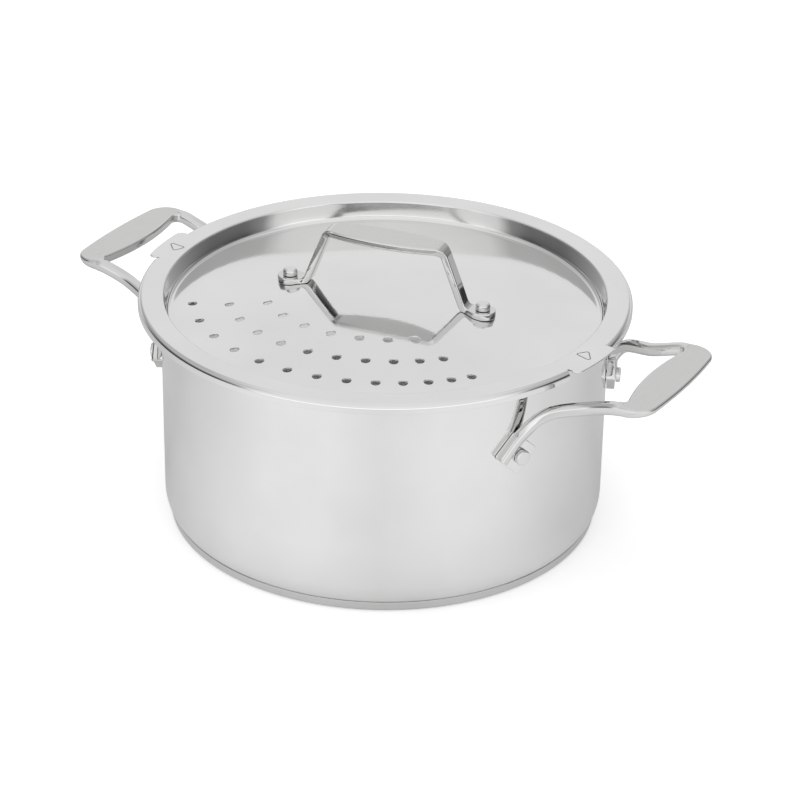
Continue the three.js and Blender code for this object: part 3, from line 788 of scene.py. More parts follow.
def perforation_tree(material, rows):
    """Rows of holes on arcs, dropped onto the pan and punched square to it."""
    tree = Tree("Perforations", [
        ("Drill", "Object"), ("First radius", "Float"), ("Row pitch", "Float"), ("Hole pitch", "Float"),
        ("Pitch change", "Float"), ("First row holes", "Int"), ("More holes", "Int"), ("Centre X", "Float"),
        ("Centre Y", "Float"), ("Direction", "Float"), ("Row turn", "Float"), ("Reach", "Float"),
        ("Above", "Float"),
    ])
    maths, given = tree.maths, tree.given
    index = tree.node("GeometryNodeInputIndex").outputs[0]
    centre = (given("Centre X"), given("Centre Y"))

    def by_row(first, change, row):
        return maths("ADD", given(first), maths("MULTIPLY", given(change), row))

    lines = []
    for row in range(rows):
        radius = by_row("First radius", "Row pitch", row)
        holes = by_row("First row holes", "More holes", row)
        middle = by_row("Direction", "Row turn", row)
        from_middle = maths("SUBTRACT", index, maths("DIVIDE", maths("SUBTRACT", holes, 1.0), 2.0))
        narrowing = maths("MULTIPLY", maths("MULTIPLY", from_middle, from_middle),
                          maths("DIVIDE", given("Pitch change"), 2.0))
        run = maths("ADD", maths("MULTIPLY", from_middle, given("Hole pitch")), narrowing)
        angle = maths("ADD", middle, maths("DIVIDE", run, radius))
        lines.append(tree.points(holes, tree.on_circle(radius, angle, centre)))
    every = tree.node("GeometryNodeJoinGeometry", {0: lines}).outputs[0]
    position = tree.node("GeometryNodeInputPosition").outputs[0]
    out = tree.node("ShaderNodeVectorMath", {0: position}, operation="LENGTH").outputs["Value"]
    on_pan = tree.node("GeometryNodeDeleteGeometry", {
        "Geometry": every, "Selection": maths("GREATER_THAN", out, given("Reach"))}).outputs[0]
    above = tree.node("ShaderNodeVectorMath", {0: position, 1: tree.combined({2: given("Above")})}, operation="ADD")
    drop = tree.node("GeometryNodeRaycast", {"Target Geometry": given("Geometry"),
                                             "Source Position": above.outputs[0],
                                             "Ray Direction": (0, 0, -1), "Ray Length": LONGEST_DROP})
    square = tree.node("FunctionNodeAlignRotationToVector", {"Vector": drop.outputs["Hit Normal"]}, axis="Z")
    carried = tree.node("GeometryNodeCaptureAttribute", {"Geometry": on_pan})
    carried.capture_items.new("ROTATION", "Square")
    tree.links.new(square.outputs[0], carried.inputs["Square"])
    seated = tree.node("GeometryNodeSetPosition", {"Geometry": carried.outputs["Geometry"],
                                                   "Position": drop.outputs["Hit Position"]}).outputs[0]
    drill = tree.node("GeometryNodeObjectInfo", {"Object": given("Drill")}).outputs["Geometry"]
    drills = tree.copies(seated, drill, Rotation=carried.outputs["Square"])
    cutters = tree.node("GeometryNodeRealizeInstances", {"Geometry": drills}).outputs[0]
    punched = tree.node("GeometryNodeMeshBoolean", operation="DIFFERENCE", solver="EXACT")
    tree.links.new(given("Geometry"), punched.inputs["Mesh 1"])
    tree.links.new(cutters, punched.inputs["Mesh 2"])
    tree.finish(punched.outputs["Mesh"], material)
    return tree


# Pot

# Steps round the pot's outer and inner corner, the lip's edge and the cap's edges
OUTER_STEPS = 14
INNER_STEPS = 18
LIP_STEPS = 5
CAP_STEPS = 8

# Rounding of the cap's upper rim
CAP_RIM = 0.25 * MM

# Faces no further out than this beyond the wall's inside can be inside faces
WALL_SLACK = 0.01 * MM


def pot_profile(scene):
    """Half section of the pot's sheet, from the middle of its underside round the lip to the middle inside."""
    pot, m = scene.stockpot_pot, measures(scene)
    corner = pot.radius - pot.corner
    sweep = math.degrees(math.acos(1 - pot.base_inset / pot.corner))
    height = m.bottom + pot.corner * math.sin(math.radians(sweep))
    inner = pot.corner - pot.wall
    inner_sweep = math.degrees(math.asin((height - m.floor) / inner))
    bend = (pot.radius + pot.lip_bend, pot.lip_height - pot.wall - pot.lip_bend)
    lip = rounded([(bend[0], pot.lip_height - pot.wall, 0), (m.lip, pot.lip_height - pot.wall, pot.lip_edge),
                   (m.lip, pot.lip_height, pot.lip_edge), (bend[0], pot.lip_height, 0)], LIP_STEPS)
    line = [(0.0, m.bottom)]
    line += arc((corner, height), pot.corner, -sweep, 0, OUTER_STEPS)
    line += arc(bend, pot.lip_bend, 180, 90)
    line += lip
    line += arc(bend, pot.lip_bend + pot.wall, 90, 180)
    line += arc((corner, height), inner, 0, -inner_sweep, INNER_STEPS)
    line += [(0.0, m.floor)]
    return held(distinct(line))


def cap_profile(scene):
    """Half section of the base's cap, from the middle of its underside round its rim to the middle inside."""
    pot, m = scene.stockpot_pot, measures(scene)
    inside = m.base - pot.cap_sheet
    line = rounded([(0.0, 0.0, 0), (m.base, 0.0, pot.cap_edge), (m.base, pot.base_height, CAP_RIM),
                    (inside, pot.base_height, CAP_RIM), (inside, pot.cap_sheet, pot.cap_edge - pot.cap_sheet),
                    (0.0, pot.cap_sheet, 0)], CAP_STEPS)
    return held(line)


class STOCKPOT_OT_pot(bpy.types.Operator):
    """Builds the drawn pot and its base cap, and finishes the base's core"""

    bl_idname = "stockpot.pot"
    bl_label = "Pot and base"

    def execute(self, context):
        scene = context.scene
        finishes = [metal(scene, "polished_pot"), metal(scene, "brushed_inside")]
        shell = to_object("pot", turned(pot_profile(scene)), finishes)
        inner = measures(scene).inside
        for face in shell.data.polygons:
            within = face.center.xy.length < inner + WALL_SLACK
            inwards = face.normal.z * inner > face.normal.xy.dot(face.center.xy)
            face.material_index = int(within and inwards)
        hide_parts("pot_shell")
        cap = to_object("base", turned(cap_profile(scene)), [metal(scene, "polished_base")])
        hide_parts("base_cap")
        for piece in (shell, cap):
            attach(piece, "pot")
        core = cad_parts["base_core"]
        core.data.materials.clear()
        core.data.materials.append(metal(scene, "bare_core"))
        return {"FINISHED"}


# Side handles

# Sections of half a handle: along the grip, round its corner, and between two knots of an arm
GRIP_STEPS = 24
LOOP_STEPS = 16
ARM_STEPS = 12

# Section at which the grip's form starts to turn into the arm's, and sections past the corner where that ends
BLEND_START = 30
BLEND_PAST = 6

# Sections that are left of an arm when its twist towards the pad ends
TWIST_LEFT = 18

# Straight start of an arm, and how far it drops there
START_RUN = 4 * MM
START_DROP = 0.15 * MM

# Arm's knots over the pad: how far up the pad from its rivet, and how far off it
PAD_KNOTS = ((9 * MM, 0.8 * MM), (2 * MM, 0), (-3 * MM, 0), (-8.2 * MM, 0))

# Least flat that roundings leave on a section's sides
LEAST_FLAT = 0.1 * MM

# Steps round a pad's corners and over its face edge
PAD_CORNER_STEPS = 6
PAD_EDGE_STEPS = 4

# Places of the finishes in a handle's list
BARE, SATIN, PAD = range(3)

# Stands a drawing upright, with its face towards +X
UPRIGHT = Matrix(((0, 0, 1, 0), (1, 0, 0, 0), (0, 1, 0, 0), (0, 0, 0, 1)))


def grip_pairs(handles, radius):
    """Matching points on the inner and outer edge of half a grip, from its middle to the root of its -Y arm."""
    outer_middle = radius + handles.reach
    corner_line = outer_middle - handles.outer_bow
    inner_middle = outer_middle - handles.width
    inner_end = inner_middle + handles.inner_bow
    half = handles.length / 2
    side = half - handles.arm_width
    corner, small = handles.corner, handles.hole_corner
    pairs = []
    for i in range(GRIP_STEPS + 1):
        part = i / GRIP_STEPS
        y = part * (half - corner)
        outer = (outer_middle - handles.outer_bow * part ** 2, -y)
        y = part * (side - small)
        inner = (inner_middle + handles.inner_bow * part ** 2, -y)
        pairs.append((inner, outer))
    for angle in quarter(LOOP_STEPS)[1:]:
        outer = (corner_line - corner + corner * math.cos(angle), -(half - corner) - corner * math.sin(angle))
        inner = (inner_end - small + small * math.cos(angle), -(side - small) - small * math.sin(angle))
        pairs.append((inner, outer))
    return pairs


def arm_knots(scene):
    """Middle line of the -Y arm of the +X handle, from grip to pad, and the way its upper face turns there."""
    handles, rivets, m = scene.stockpot_handles, scene.stockpot_rivets, measures(scene)
    radius = scene.stockpot_pot.radius
    middle = handles.top - handles.thickness / 2
    side = handles.length / 2 - handles.arm_width / 2
    pad = m.pad_face + handles.rod_rise - handles.arm_thickness / 2
    angle = -handles.pad_angle
    out = Vector((math.cos(angle), math.sin(angle), 0))
    inwards = Vector((-math.sin(angle), math.cos(angle), 0))
    up = Vector((0, 0, 1))
    centre = out * pad + up * rivets.height
    along = inwards * math.sin(handles.pad_tilt) + up * math.cos(handles.pad_tilt)
    across = inwards * math.cos(handles.pad_tilt) - up * math.sin(handles.pad_tilt)
    rod = centre - across * handles.rod_shift
    shoulder_side = (side - centre.y) / 2
    wall_reach = radius * math.cos(angle)
    return SimpleNamespace(
        knots=[
            Vector((radius + handles.level_reach, -side, middle - handles.level_drop)),
            Vector((wall_reach + handles.shoulder_reach, -shoulder_side, middle - handles.shoulder_drop)),
            *[rod + along * up_pad + out * off for up_pad, off in PAD_KNOTS],
        ],
        normal=-out,
        middle=middle,
    )


def handle_sections(scene):
    """Sections of half a side handle, from the middle of the grip to the end of the -Y arm."""
    handles = scene.stockpot_handles
    arm = arm_knots(scene)
    pairs = grip_pairs(handles, scene.stockpot_pot.radius)
    up = Vector((0, 0, 1))
    under = (handles.under_width, handles.under_height)
    inner_under = (handles.inner_under, handles.inner_under)
    arm_under = (handles.arm_edge, handles.arm_edge)

    def blend(i):
        return ease(i, BLEND_START, len(pairs) + BLEND_PAST)

    stations = []
    for i, (inner, outer) in enumerate(pairs):
        a, b = Vector((*inner, 0)), Vector((*outer, 0))
        stations.append((a.lerp(b, 0.5) + up * arm.middle, (b - a).normalized(), up, (b - a).length, blend(i)))
    root = stations[-1][0]
    path = smooth_path([root, root + Vector((-START_RUN, 0, -START_DROP)), *arm.knots], ARM_STEPS)
    normal = up
    for i in range(1, len(path)):
        along = (path[min(i + 1, len(path) - 1)] - path[i - 1]).normalized()
        normal = (normal - along * normal.dot(along)).normalized()
        goal = (arm.normal - along * arm.normal.dot(along)).normalized()
        twist = ease(i, len(path) // 3, len(path) - TWIST_LEFT)
        facing = normal.lerp(goal, twist).normalized()
        across = facing.cross(along).normalized()
        width = between(handles.arm_width, handles.arm_end, twist)
        stations.append((path[i], across, facing, width, blend(len(pairs) + i)))
    sections = []
    for centre, across, normal, width, bend in stations:
        thick = between(handles.thickness, handles.arm_thickness, bend)
        edge = between(handles.edge, handles.arm_edge, bend)
        below = []
        for rounding in (under, inner_under):
            wide, high = (between(u, v, bend) for u, v in zip(rounding, arm_under))
            below.append((min(wide, width / 2 - LEAST_FLAT), min(high, thick - edge - LEAST_FLAT)))
        shape = bar_section(width, thick / 2, -thick / 2, edge, *below)
        sections.append([centre + across * x + normal * y for x, y in shape])
    return sections, len(pairs)


def rectangle_outline(width, height, corner):
    """Outline of a rectangle with rounded corners."""
    points = []
    for sx, sy, start in ((1, -1, -90), (1, 1, 0), (-1, 1, 90), (-1, -1, 180)):
        centre = (sx * (width / 2 - corner), sy * (height / 2 - corner))
        points += arc(centre, corner, start, start + 90, PAD_CORNER_STEPS)
    return points


def pad_form(scene, side):
    """Pad of an arm: a tilted plate with a rounded face edge, that reaches into the wall until it is cut."""
    handles, m = scene.stockpot_handles, measures(scene)
    edge = handles.pad_edge
    place = (Matrix.Rotation(side * handles.pad_angle, 4, "Z")
             @ Matrix.Translation((0, 0, scene.stockpot_rivets.height))
             @ UPRIGHT @ Matrix.Rotation(side * handles.pad_tilt, 4, "Z"))
    layers = [(scene.stockpot_pot.radius - handles.pad_thickness, 0.0)]
    layers += [(m.pad_face - edge + edge * math.sin(a), edge - edge * math.cos(a))
               for a in quarter(PAD_EDGE_STEPS)]
    sections = []
    for depth, inset in layers:
        outline = rectangle_outline(handles.pad_width - 2 * inset, handles.pad_length - 2 * inset,
                                    handles.pad_corner - inset)
        sections.append([place @ Vector((x + side * handles.pad_shift, y, depth)) for x, y in outline])
    return lofted(sections)


class STOCKPOT_OT_side_handles(bpy.types.Operator):
    """Builds the two loop handles with their pads"""

    bl_idname = "stockpot.side_handles"
    bl_label = "Side handles"

    def execute(self, context):
        scene = context.scene
        half, grip_count = handle_sections(scene)
        mirrored = [[Vector((p.x, -p.y, p.z)) for p in section] for section in reversed(half[1:])]
        sections = mirrored + half
        first = len(mirrored) - grip_count - 1
        last = len(mirrored) + grip_count
        finishes = [metal(scene, name) for name in ("polished_handle", "satin_side_grip", "polished_pad")]
        skin = lofted(sections, lambda i, k: SATIN if k in FLAT_TOP and first <= i <= last else BARE)
        handle = to_object("handle_right", skin, finishes)
        pads = [to_object("pad", pad_form(scene, side), finishes) for side in (-1, 1)]
        for pad in pads:
            pad.data.polygons.foreach_set("material_index", [PAD] * len(pad.data.polygons))
        combined(handle, pads, "UNION")
        wall = scene.stockpot_pot.radius + scene.stockpot_pot.fit
        high = scene.stockpot_pot.lip_height
        clearance = to_object("wall", turned([(0, 0), (wall, 0), (wall, high), (0, high)]), finishes[:1])
        combined(handle, [clearance], "DIFFERENCE")
        mesh = handle.data.copy()
        mesh.transform(Matrix.Rotation(math.pi, 4, "Z"))
        opposite = bpy.data.objects.new("handle_left", mesh)
        scene.collection.objects.link(opposite)
        for piece, node in ((handle, "side_handle_right"), (opposite, "side_handle_left")):
            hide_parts(node)
            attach(piece, "pot")
        return {"FINISHED"}


# Rivets

# Rounding where an outer head meets its seat, steps round a head's edge, and where faces are held level
SEAT_EDGE = 0.2 * MM
HEAD_STEPS = 6
HEAD_HOLD = 0.15 * MM


def rivet_profile(low, high, shank, outer, inner):
    """Rivet along Z from its inner head's face to its outer head's top; heads are (radius, height, edge)."""
    line = rounded([
        (0.0, low - inner[1], 0),
        (inner[0], low - inner[1], inner[2]),
        (inner[0], low, 0),
        (shank, low, 0),
        (shank, high, 0),
        (outer[0], high, SEAT_EDGE),
        (outer[0], high + outer[1], outer[2]),
        (0.0, high + outer[1], 0),
    ], HEAD_STEPS)
    return held(line, HEAD_HOLD)


def set_out(scene, name, profile, tree_for, values):
    """A rivet turned from its profile and set out by a tree."""
    finish = metal(scene, "polished_rivet")
    piece = to_object(name, turned(profile, RIVET_STEPS), [finish])
    tree_for(finish).run(piece, values)
    shade(piece.data)
    return piece


class STOCKPOT_OT_side_rivets(bpy.types.Operator):
    """Sets a rivet through each pad and the pot's wall"""

    bl_idname = "stockpot.side_rivets"
    bl_label = "Side rivets"

    def execute(self, context):
        scene = context.scene
        pot, rivets, m = scene.stockpot_pot, scene.stockpot_rivets, measures(scene)
        inside = math.sqrt(m.inside ** 2 - rivets.inner_head ** 2) - pot.fit
        profile = rivet_profile(inside, m.pad_face + pot.fit, rivets.shank,
                                (rivets.head, rivets.head_height, rivets.head_edge),
                                (rivets.inner_head, rivets.inner_height, rivets.inner_height / 2))
        values = {"Pad angle": scene.stockpot_handles.pad_angle, "Height": rivets.height, "Count": 4}
        piece = set_out(scene, "side_rivets", profile, side_rivet_tree, values)
        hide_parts("side_rivet_right_front", "side_rivet_right_rear",
                    "side_rivet_left_front", "side_rivet_left_rear")
        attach(piece, "pot")
        return {"FINISHED"}


class STOCKPOT_OT_lid_rivets(bpy.types.Operator):
    """Sets a rivet through each foot of the lid's handle"""

    bl_idname = "stockpot.lid_rivets"
    bl_label = "Lid rivets"

    def execute(self, context):
        scene = context.scene
        pot, lid, rivets, m = scene.stockpot_pot, scene.stockpot_lid, scene.stockpot_rivets, measures(scene)
        handle = scene.stockpot_lid_handle
        low = crown_height(m, handle.foot_radius + rivets.lower_head) - lid.sheet - pot.fit
        profile = rivet_profile(low, m.foot_seat + handle.foot_thickness + pot.fit, rivets.lid_shank,
                                (rivets.lid_head, rivets.lid_head_height, rivets.lid_head_edge),
                                (rivets.lower_head, rivets.lower_height, rivets.lower_height / 2))
        values = {"Turn": handle.turn, "Radius": handle.foot_radius, "Count": 2}
        piece = set_out(scene, "lid_rivets", profile, lid_rivet_tree, values)
        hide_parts("lid_rivet_right", "lid_rivet_left")
        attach(piece, "lid")
        return {"FINISHED"}


# Strainer lid

# Rounding of the sheet's cut edges, as a share of its thickness, and steps round the edges of tabs and skirt
CUT_EDGE = 0.42
TAB_STEPS = 4
SKIRT_STEPS = 8

# Places along a tab's corner that get a section, as shares of its radius
TAB_CORNER_PARTS = (0.0, 0.08, 0.22, 0.42, 0.68, 1.0)

# An even angle nearer to a tab's angle than this is left out, and angles nearer than the slack are one
NEAR_ANGLE = math.pi / TURN_STEPS * 0.6
ANGLE_SLACK = 1e-6

# How far a drill reaches above and below the lid's face, and steps round a hole's edge
DRILL_REACH = 6 * MM
DRILL_EDGE_STEPS = 3

# Steps round a mark's corners
MARK_STEPS = 5


def apart(first, second):
    """Angle between two directions."""
    return abs((first - second + math.pi) % (2 * math.pi) - math.pi)


def lid_line(scene):
    """Upper face of the lid, from its middle to the edge of the flat ring."""
    lid, m = scene.stockpot_lid, measures(scene)
    crown = []
    for i in range(PAN_RINGS):
        radius = m.pan * i / PAN_RINGS
        crown.append((radius, crown_height(m, radius)))
    side = rounded([
        (m.pan, m.trough, 0),
        (m.side, m.trough, lid.cove),
        (m.side + lid.flare, m.ring_top, lid.ring_bend),
        (m.flat_edge, m.ring_top, 0),
    ])
    return held(crown + side)


def tab_spans(scene):
    """Direction, half angle and outer half angle of each thumb tab with its slits."""
    lid, m = scene.stockpot_lid, measures(scene)
    half = math.asin(lid.tab_width / 2 / m.ring)
    outer = math.asin((lid.tab_width / 2 + lid.tab_notch) / m.ring)
    return [(direction, half, outer) for direction in (-lid.tab_forward, math.pi + lid.tab_forward)]


def rim_angles(scene):
    """Angles round the lid, with the ends of the tabs and slits among them."""
    lid, m = scene.stockpot_lid, measures(scene)
    angles = [2 * math.pi * i / TURN_STEPS for i in range(TURN_STEPS)]
    special = []
    for direction, half, outer in tab_spans(scene):
        for sign in (-1, 1):
            special.append(direction + sign * outer)
            for part in TAB_CORNER_PARTS:
                special.append(direction + sign * (half - part * lid.tab_corner / m.ring))
    special = sorted(angle % (2 * math.pi) for angle in special)
    kept = [a for a in angles if all(apart(a, s) > NEAR_ANGLE for s in special)]
    return sorted(kept + special)


def rim_kind(spans, angle):
    """What the rim is at an angle."""
    for direction, half, outer in spans:
        off = apart(angle, direction)
        if off < half:
            return "tab"
        if off < outer:
            return "slit"
    return "skirt"


def rim_line(scene, kind, angle):
    """Outer part of the lid's section at an angle, from the ring's upper to its lower face."""
    lid, m = scene.stockpot_lid, measures(scene)
    low = m.ring_top - lid.sheet
    edge = CUT_EDGE * lid.sheet
    if kind == "slit":
        return [(m.flat_edge, m.ring_top), (m.flat_edge, low)]
    if kind == "tab":
        reach = m.tab_edge
        for direction, half, _ in tab_spans(scene):
            off = apart(angle, direction)
            if off <= half + ANGLE_SLACK:
                inside = min(max((half - off) * m.ring, 0.0), lid.tab_corner)
                back = lid.tab_corner - inside
                reach -= lid.tab_corner - math.sqrt(max(lid.tab_corner ** 2 - back ** 2, 0.0))
        return rounded([(m.flat_edge, m.ring_top, 0), (reach, m.ring_top, edge), (reach, low, edge),
                        (m.flat_edge, low, 0)], TAB_STEPS)
    bottom = m.ring_top - lid.skirt_depth
    inner = m.ring - lid.sheet
    return rounded([(m.flat_edge, m.ring_top, 0), (m.ring, m.ring_top, lid.edge_bend), (m.ring, bottom, edge),
                    (inner, bottom, edge), (inner, low, lid.edge_bend - lid.sheet),
                    (m.flat_edge, low, 0)], SKIRT_STEPS)


def lid_form(scene):
    """The lid without its holes: a pressed dish whose rim is skirt, tab or slit by turns."""
    upper = lid_line(scene)
    lower = sheet_back(upper, scene.stockpot_lid.sheet)
    angles = rim_angles(scene)
    spans = tab_spans(scene)
    count = len(angles)
    form = bmesh.new()

    def ring(radius, height):
        if radius < MESH_TINY:
            return [form.verts.new((0, 0, height))]
        return [form.verts.new((radius * math.cos(a), radius * math.sin(a), height)) for a in angles]

    tops = [ring(*point) for point in upper]
    unders = [ring(*point) for point in lower]
    for line in (tops, unders):
        for inner, outer in zip(line, line[1:]):
            join_rings(form, inner, outer)
    kinds = []
    for i in range(count):
        after = angles[(i + 1) % count] + (2 * math.pi if i == count - 1 else 0)
        kinds.append(rim_kind(spans, (angles[i] + after) / 2))

    made = {}

    def rim(i, kind):
        """Points of the rim's section at one angle, made once for each kind."""
        if (i, kind) not in made:
            line = rim_line(scene, kind, angles[i])
            turn_x, turn_y = math.cos(angles[i]), math.sin(angles[i])
            inner = [form.verts.new((r * turn_x, r * turn_y, z)) for r, z in line[1:-1]]
            made[i, kind] = [tops[-1][i], *inner, unders[-1][i]]
        return made[i, kind]

    for i, kind in enumerate(kinds):
        following = (i + 1) % count
        here, there = rim(i, kind), rim(following, kind)
        for k in range(len(here) - 1):
            form.faces.new((here[k], here[k + 1], there[k + 1], there[k]))
        if kinds[following] != kind:
            for closing in {kind, kinds[following]} - {"slit"}:
                form.faces.new(rim(following, closing))
    return form


def drill_profile(lid):
    """Half section of a drill that widens at the lid's face, which rounds the hole's edge."""
    flare = lid.hole + lid.hole_edge
    line = [(0.0, -DRILL_REACH), (lid.hole, -DRILL_REACH), (lid.hole, -lid.hole_edge)]
    line += [(flare - lid.hole_edge * math.cos(a), lid.hole_edge * (math.sin(a) - 1))
             for a in quarter(DRILL_EDGE_STEPS)[1:]]
    return [*line, (flare, DRILL_REACH), (0.0, DRILL_REACH)]


class STOCKPOT_OT_strainer_lid(bpy.types.Operator):
    """Presses the lid and punches its rows of holes"""

    bl_idname = "stockpot.strainer_lid"
    bl_label = "Strainer lid"

    def execute(self, context):
        scene = context.scene
        lid, m = scene.stockpot_lid, measures(scene)
        finish = metal(scene, "polished_lid")
        piece = to_object("lid", lid_form(scene), [finish])
        drill = to_object("drill", turned(drill_profile(lid), HOLE_STEPS), [])
        perforation_tree(finish, lid.rows).run(piece, {
            "Drill": drill,
            "First radius": m.pan - lid.first_row_inset,
            "Row pitch": lid.row_pitch,
            "Hole pitch": lid.hole_pitch,
            "Pitch change": lid.pitch_change,
            "First row holes": lid.first_row_holes,
            "More holes": lid.more_holes,
            "Centre X": lid.row_x,
            "Centre Y": lid.row_y,
            "Direction": lid.row_direction,
            "Row turn": lid.row_turn,
            "Reach": m.pan - lid.hole_margin,
            "Above": m.ring_top + DRILL_REACH,
        })
        discard(drill)
        shade(piece.data)
        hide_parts("strainer_lid")
        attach(piece, "lid")
        return {"FINISHED"}


def mark_outline(lid):
    """Middle line of a mark: a triangle with rounded corners that points along +X."""
    size, base = lid.mark_size, lid.mark_base * lid.mark_size
    corners = [(size / 2, 0.0), (-size / 2, base), (-size / 2, -base)]
    middles = [tuple((a + b) / 2 for a, b in zip(corners[i], corners[i - 1])) for i in range(3)]
    outline = []
    for i in range(3):
        start, end = middles[i], middles[(i + 1) % 3]
        outline += rounded([(*start, 0), (*corners[i], lid.mark_corner), (*end, 0)], MARK_STEPS)[:-1]
    return outline


class STOCKPOT_OT_marks(bpy.types.Operator):
    """Draws the triangular alignment marks on the lid's ring"""

    bl_idname = "stockpot.marks"
    bl_label = "Alignment marks"

    def execute(self, context):
        scene = context.scene
        lid, m = scene.stockpot_lid, measures(scene)
        outline = mark_outline(lid)
        form = bmesh.new()
        for direction, _, _ in tab_spans(scene):
            place = (Matrix.Rotation(direction, 4, "Z") @ Matrix.Translation((lid.mark_radius, 0, m.ring_top))
                     @ Matrix.Rotation(lid.mark_turn, 4, "Z"))
            rings = []
            for i, point in enumerate(outline):
                before, after = Vector(outline[i - 1]), Vector(outline[(i + 1) % len(outline)])
                along = (after - before).normalized()
                side = Vector((along.y, -along.x)) * lid.mark_line / 2
                middle = Vector(point)
                rings.append([form.verts.new(place @ Vector((*(middle + side * s), z)))
                              for s, z in ((-1, -lid.mark_height), (1, -lid.mark_height),
                                           (1, lid.mark_height), (-1, lid.mark_height))])
            for ring, following in zip(rings, rings[1:] + rings[:1]):
                join_rings(form, ring, following)
        piece = to_object("alignment_marks", form, [metal(scene, "grey_mark")])
        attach(piece, "lid")
        return {"FINISHED"}


# Lid handle

# Steps round the strap's bends, and its longest step
STRAP_BEND_STEPS = 12
STRAP_STEP = 1.6 * MM

# Run over which the grip narrows to the strap, and where before its rivet a foot has its full width
NECK_RUN = 9 * MM
FOOT_LEVEL = 2 * MM

# Stations round a foot's end, and how many a full quarter turn would take
FOOT_STEPS = 11
FOOT_QUARTER = 11.5

# Most of a half width that an edge's rounding takes
EDGE_SHARE = 0.45

# The satin ends this share of the bend before the grip's end, and lies above this share of its height
SATIN_BEND = 0.5
SATIN_HEIGHT = 0.8


def lid_handle_stations(scene):
    """Half of the lid handle's middle line as (distance out, height, half width), from its middle to a foot."""
    handle, m = scene.stockpot_lid_handle, measures(scene)
    top = m.foot_seat + handle.grip_height - handle.strap / 2
    low = m.foot_seat + handle.foot_thickness - handle.strap / 2
    leg_foot = handle.foot_radius - handle.foot_inner
    half_grip = handle.grip_length / 2
    bends = rounded([(0.0, top, 0), (half_grip, top, handle.bend), (leg_foot, low, handle.bend),
                     (handle.foot_radius, low, 0)], STRAP_BEND_STEPS)
    line = [bends[0]]
    for start, end in zip(bends, bends[1:]):
        parts = max(1, math.ceil(math.dist(start, end) / STRAP_STEP))
        line += [tuple(a + (b - a) * k / parts for a, b in zip(start, end)) for k in range(1, parts + 1)]
    strap, end, middle = handle.strap_width / 2, handle.grip_end / 2, handle.grip_width / 2
    foot = handle.foot_width / 2
    shoulder = half_grip - handle.strap
    stations = []
    for out, height in line:
        if out < shoulder:
            half = between(end, middle, 1 - (out / shoulder) ** 2)
        elif height > (top + low) / 2:
            drop = (out - shoulder) + (top - height)
            half = between(strap, end, 1 - ease(drop, 0.0, NECK_RUN))
        else:
            half = between(strap, foot, ease(out, leg_foot, handle.foot_radius - FOOT_LEVEL))
        stations.append((out, height, half))
    for i in range(1, FOOT_STEPS + 1):
        angle = math.pi / 2 * i / FOOT_QUARTER
        stations.append((handle.foot_radius + foot * math.sin(angle), low, foot * math.cos(angle)))
    return stations


def lid_handle_form(scene):
    """Strap of the lid's handle, lofted over its stations, with its feet lying on the crown."""
    handle, m = scene.stockpot_lid_handle, measures(scene)
    fit = scene.stockpot_pot.fit
    stations = lid_handle_stations(scene)
    half = handle.strap / 2
    sections = []
    for i, (out, height, width) in enumerate(stations):
        before, after = stations[max(i - 1, 0)], stations[min(i + 1, len(stations) - 1)]
        along = Vector((after[0] - before[0], after[1] - before[1])).normalized()
        if i == 0:
            along = Vector((1, 0))
        normal = Vector((-along.y, along.x))
        edge = min(handle.strap_edge, EDGE_SHARE * width)
        section = []
        for across, up in bar_section(2 * width, half, -half, edge, (edge, edge), (edge, edge)):
            x, z = out + normal.x * up, height + normal.y * up
            section.append(Vector((x, across, max(z, crown_height(m, math.hypot(x, across)) + fit))))
        sections.append(section)
    mirrored = [[Vector((-p.x, p.y, p.z)) for p in section] for section in reversed(sections[1:])]
    satin_end = handle.grip_length / 2 - SATIN_BEND * handle.bend
    satin_low = m.foot_seat + SATIN_HEIGHT * handle.grip_height
    grip = sum(1 for out, height, _ in stations if out < satin_end and height > satin_low)
    first, last = len(mirrored) - grip, len(mirrored) + grip - 1
    form = lofted(mirrored + sections, lambda i, k: SATIN if k in FLAT_TOP and first <= i <= last else BARE)
    form.transform(Matrix.Rotation(handle.turn, 4, "Z"))
    return form


class STOCKPOT_OT_lid_handle(bpy.types.Operator):
    """Bends the lid's handle"""

    bl_idname = "stockpot.lid_handle"
    bl_label = "Lid handle"

    def execute(self, context):
        scene = context.scene
        finishes = [metal(scene, "polished_handle"), metal(scene, "satin_lid_grip")]
        piece = to_object("handle_lid", lid_handle_form(scene), finishes)
        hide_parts("lid_handle")
        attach(piece, "lid")
        return {"FINISHED"}


# Stage

# Camera's sensor in millimetres, and how far it sees in metres
SENSOR = 36
FAR = 50

# Tones that the metal sees round the pot, from the camera's side (0) to the far side (1):
# three rings one above another, and the floor's painted shade, which darkens the floor only in the metal
LOW_TONES = ((0.0, 1.35), (0.28, 1.25), (0.32, 1.0), (0.37, 0.3), (0.43, 0.02), (0.64, 0.02),
             (0.7, 0.2), (0.77, 0.7), (0.83, 0.86), (1.0, 0.86))
ROOM_TONES = ((0.0, 0.96), (0.28, 0.96), (0.34, 0.9), (0.385, 0.32), (0.45, 0.19), (0.58, 0.19),
              (0.67, 0.27), (0.74, 0.32), (0.85, 0.47), (0.9, 0.76), (0.93, 0.86), (1.0, 0.86))
UPPER_TONES = ((0.0, 0.96), (0.34, 0.9), (0.42, 0.6), (0.6, 0.55), (0.74, 0.52), (0.85, 0.53), (0.9, 0.76),
               (0.93, 0.86), (1.0, 0.86))
FLOOR_PAINTED_SHADE = ((0.0, 0.9), (0.14, 1.03), (0.22, 1.05), (0.37, 0.9), (0.48, 0.8), (0.58, 0.68), (1.0, 0.6))
CEILING_TONE = 0.9

# Heights of a look, from level (0) to straight up (1), over which one ring gives way to the next
LOW_TO_ROOM = (0.1, 0.34)
ROOM_TO_UPPER = (0.36, 0.48)
UPPER_TO_CEILING = (0.72, 0.95)

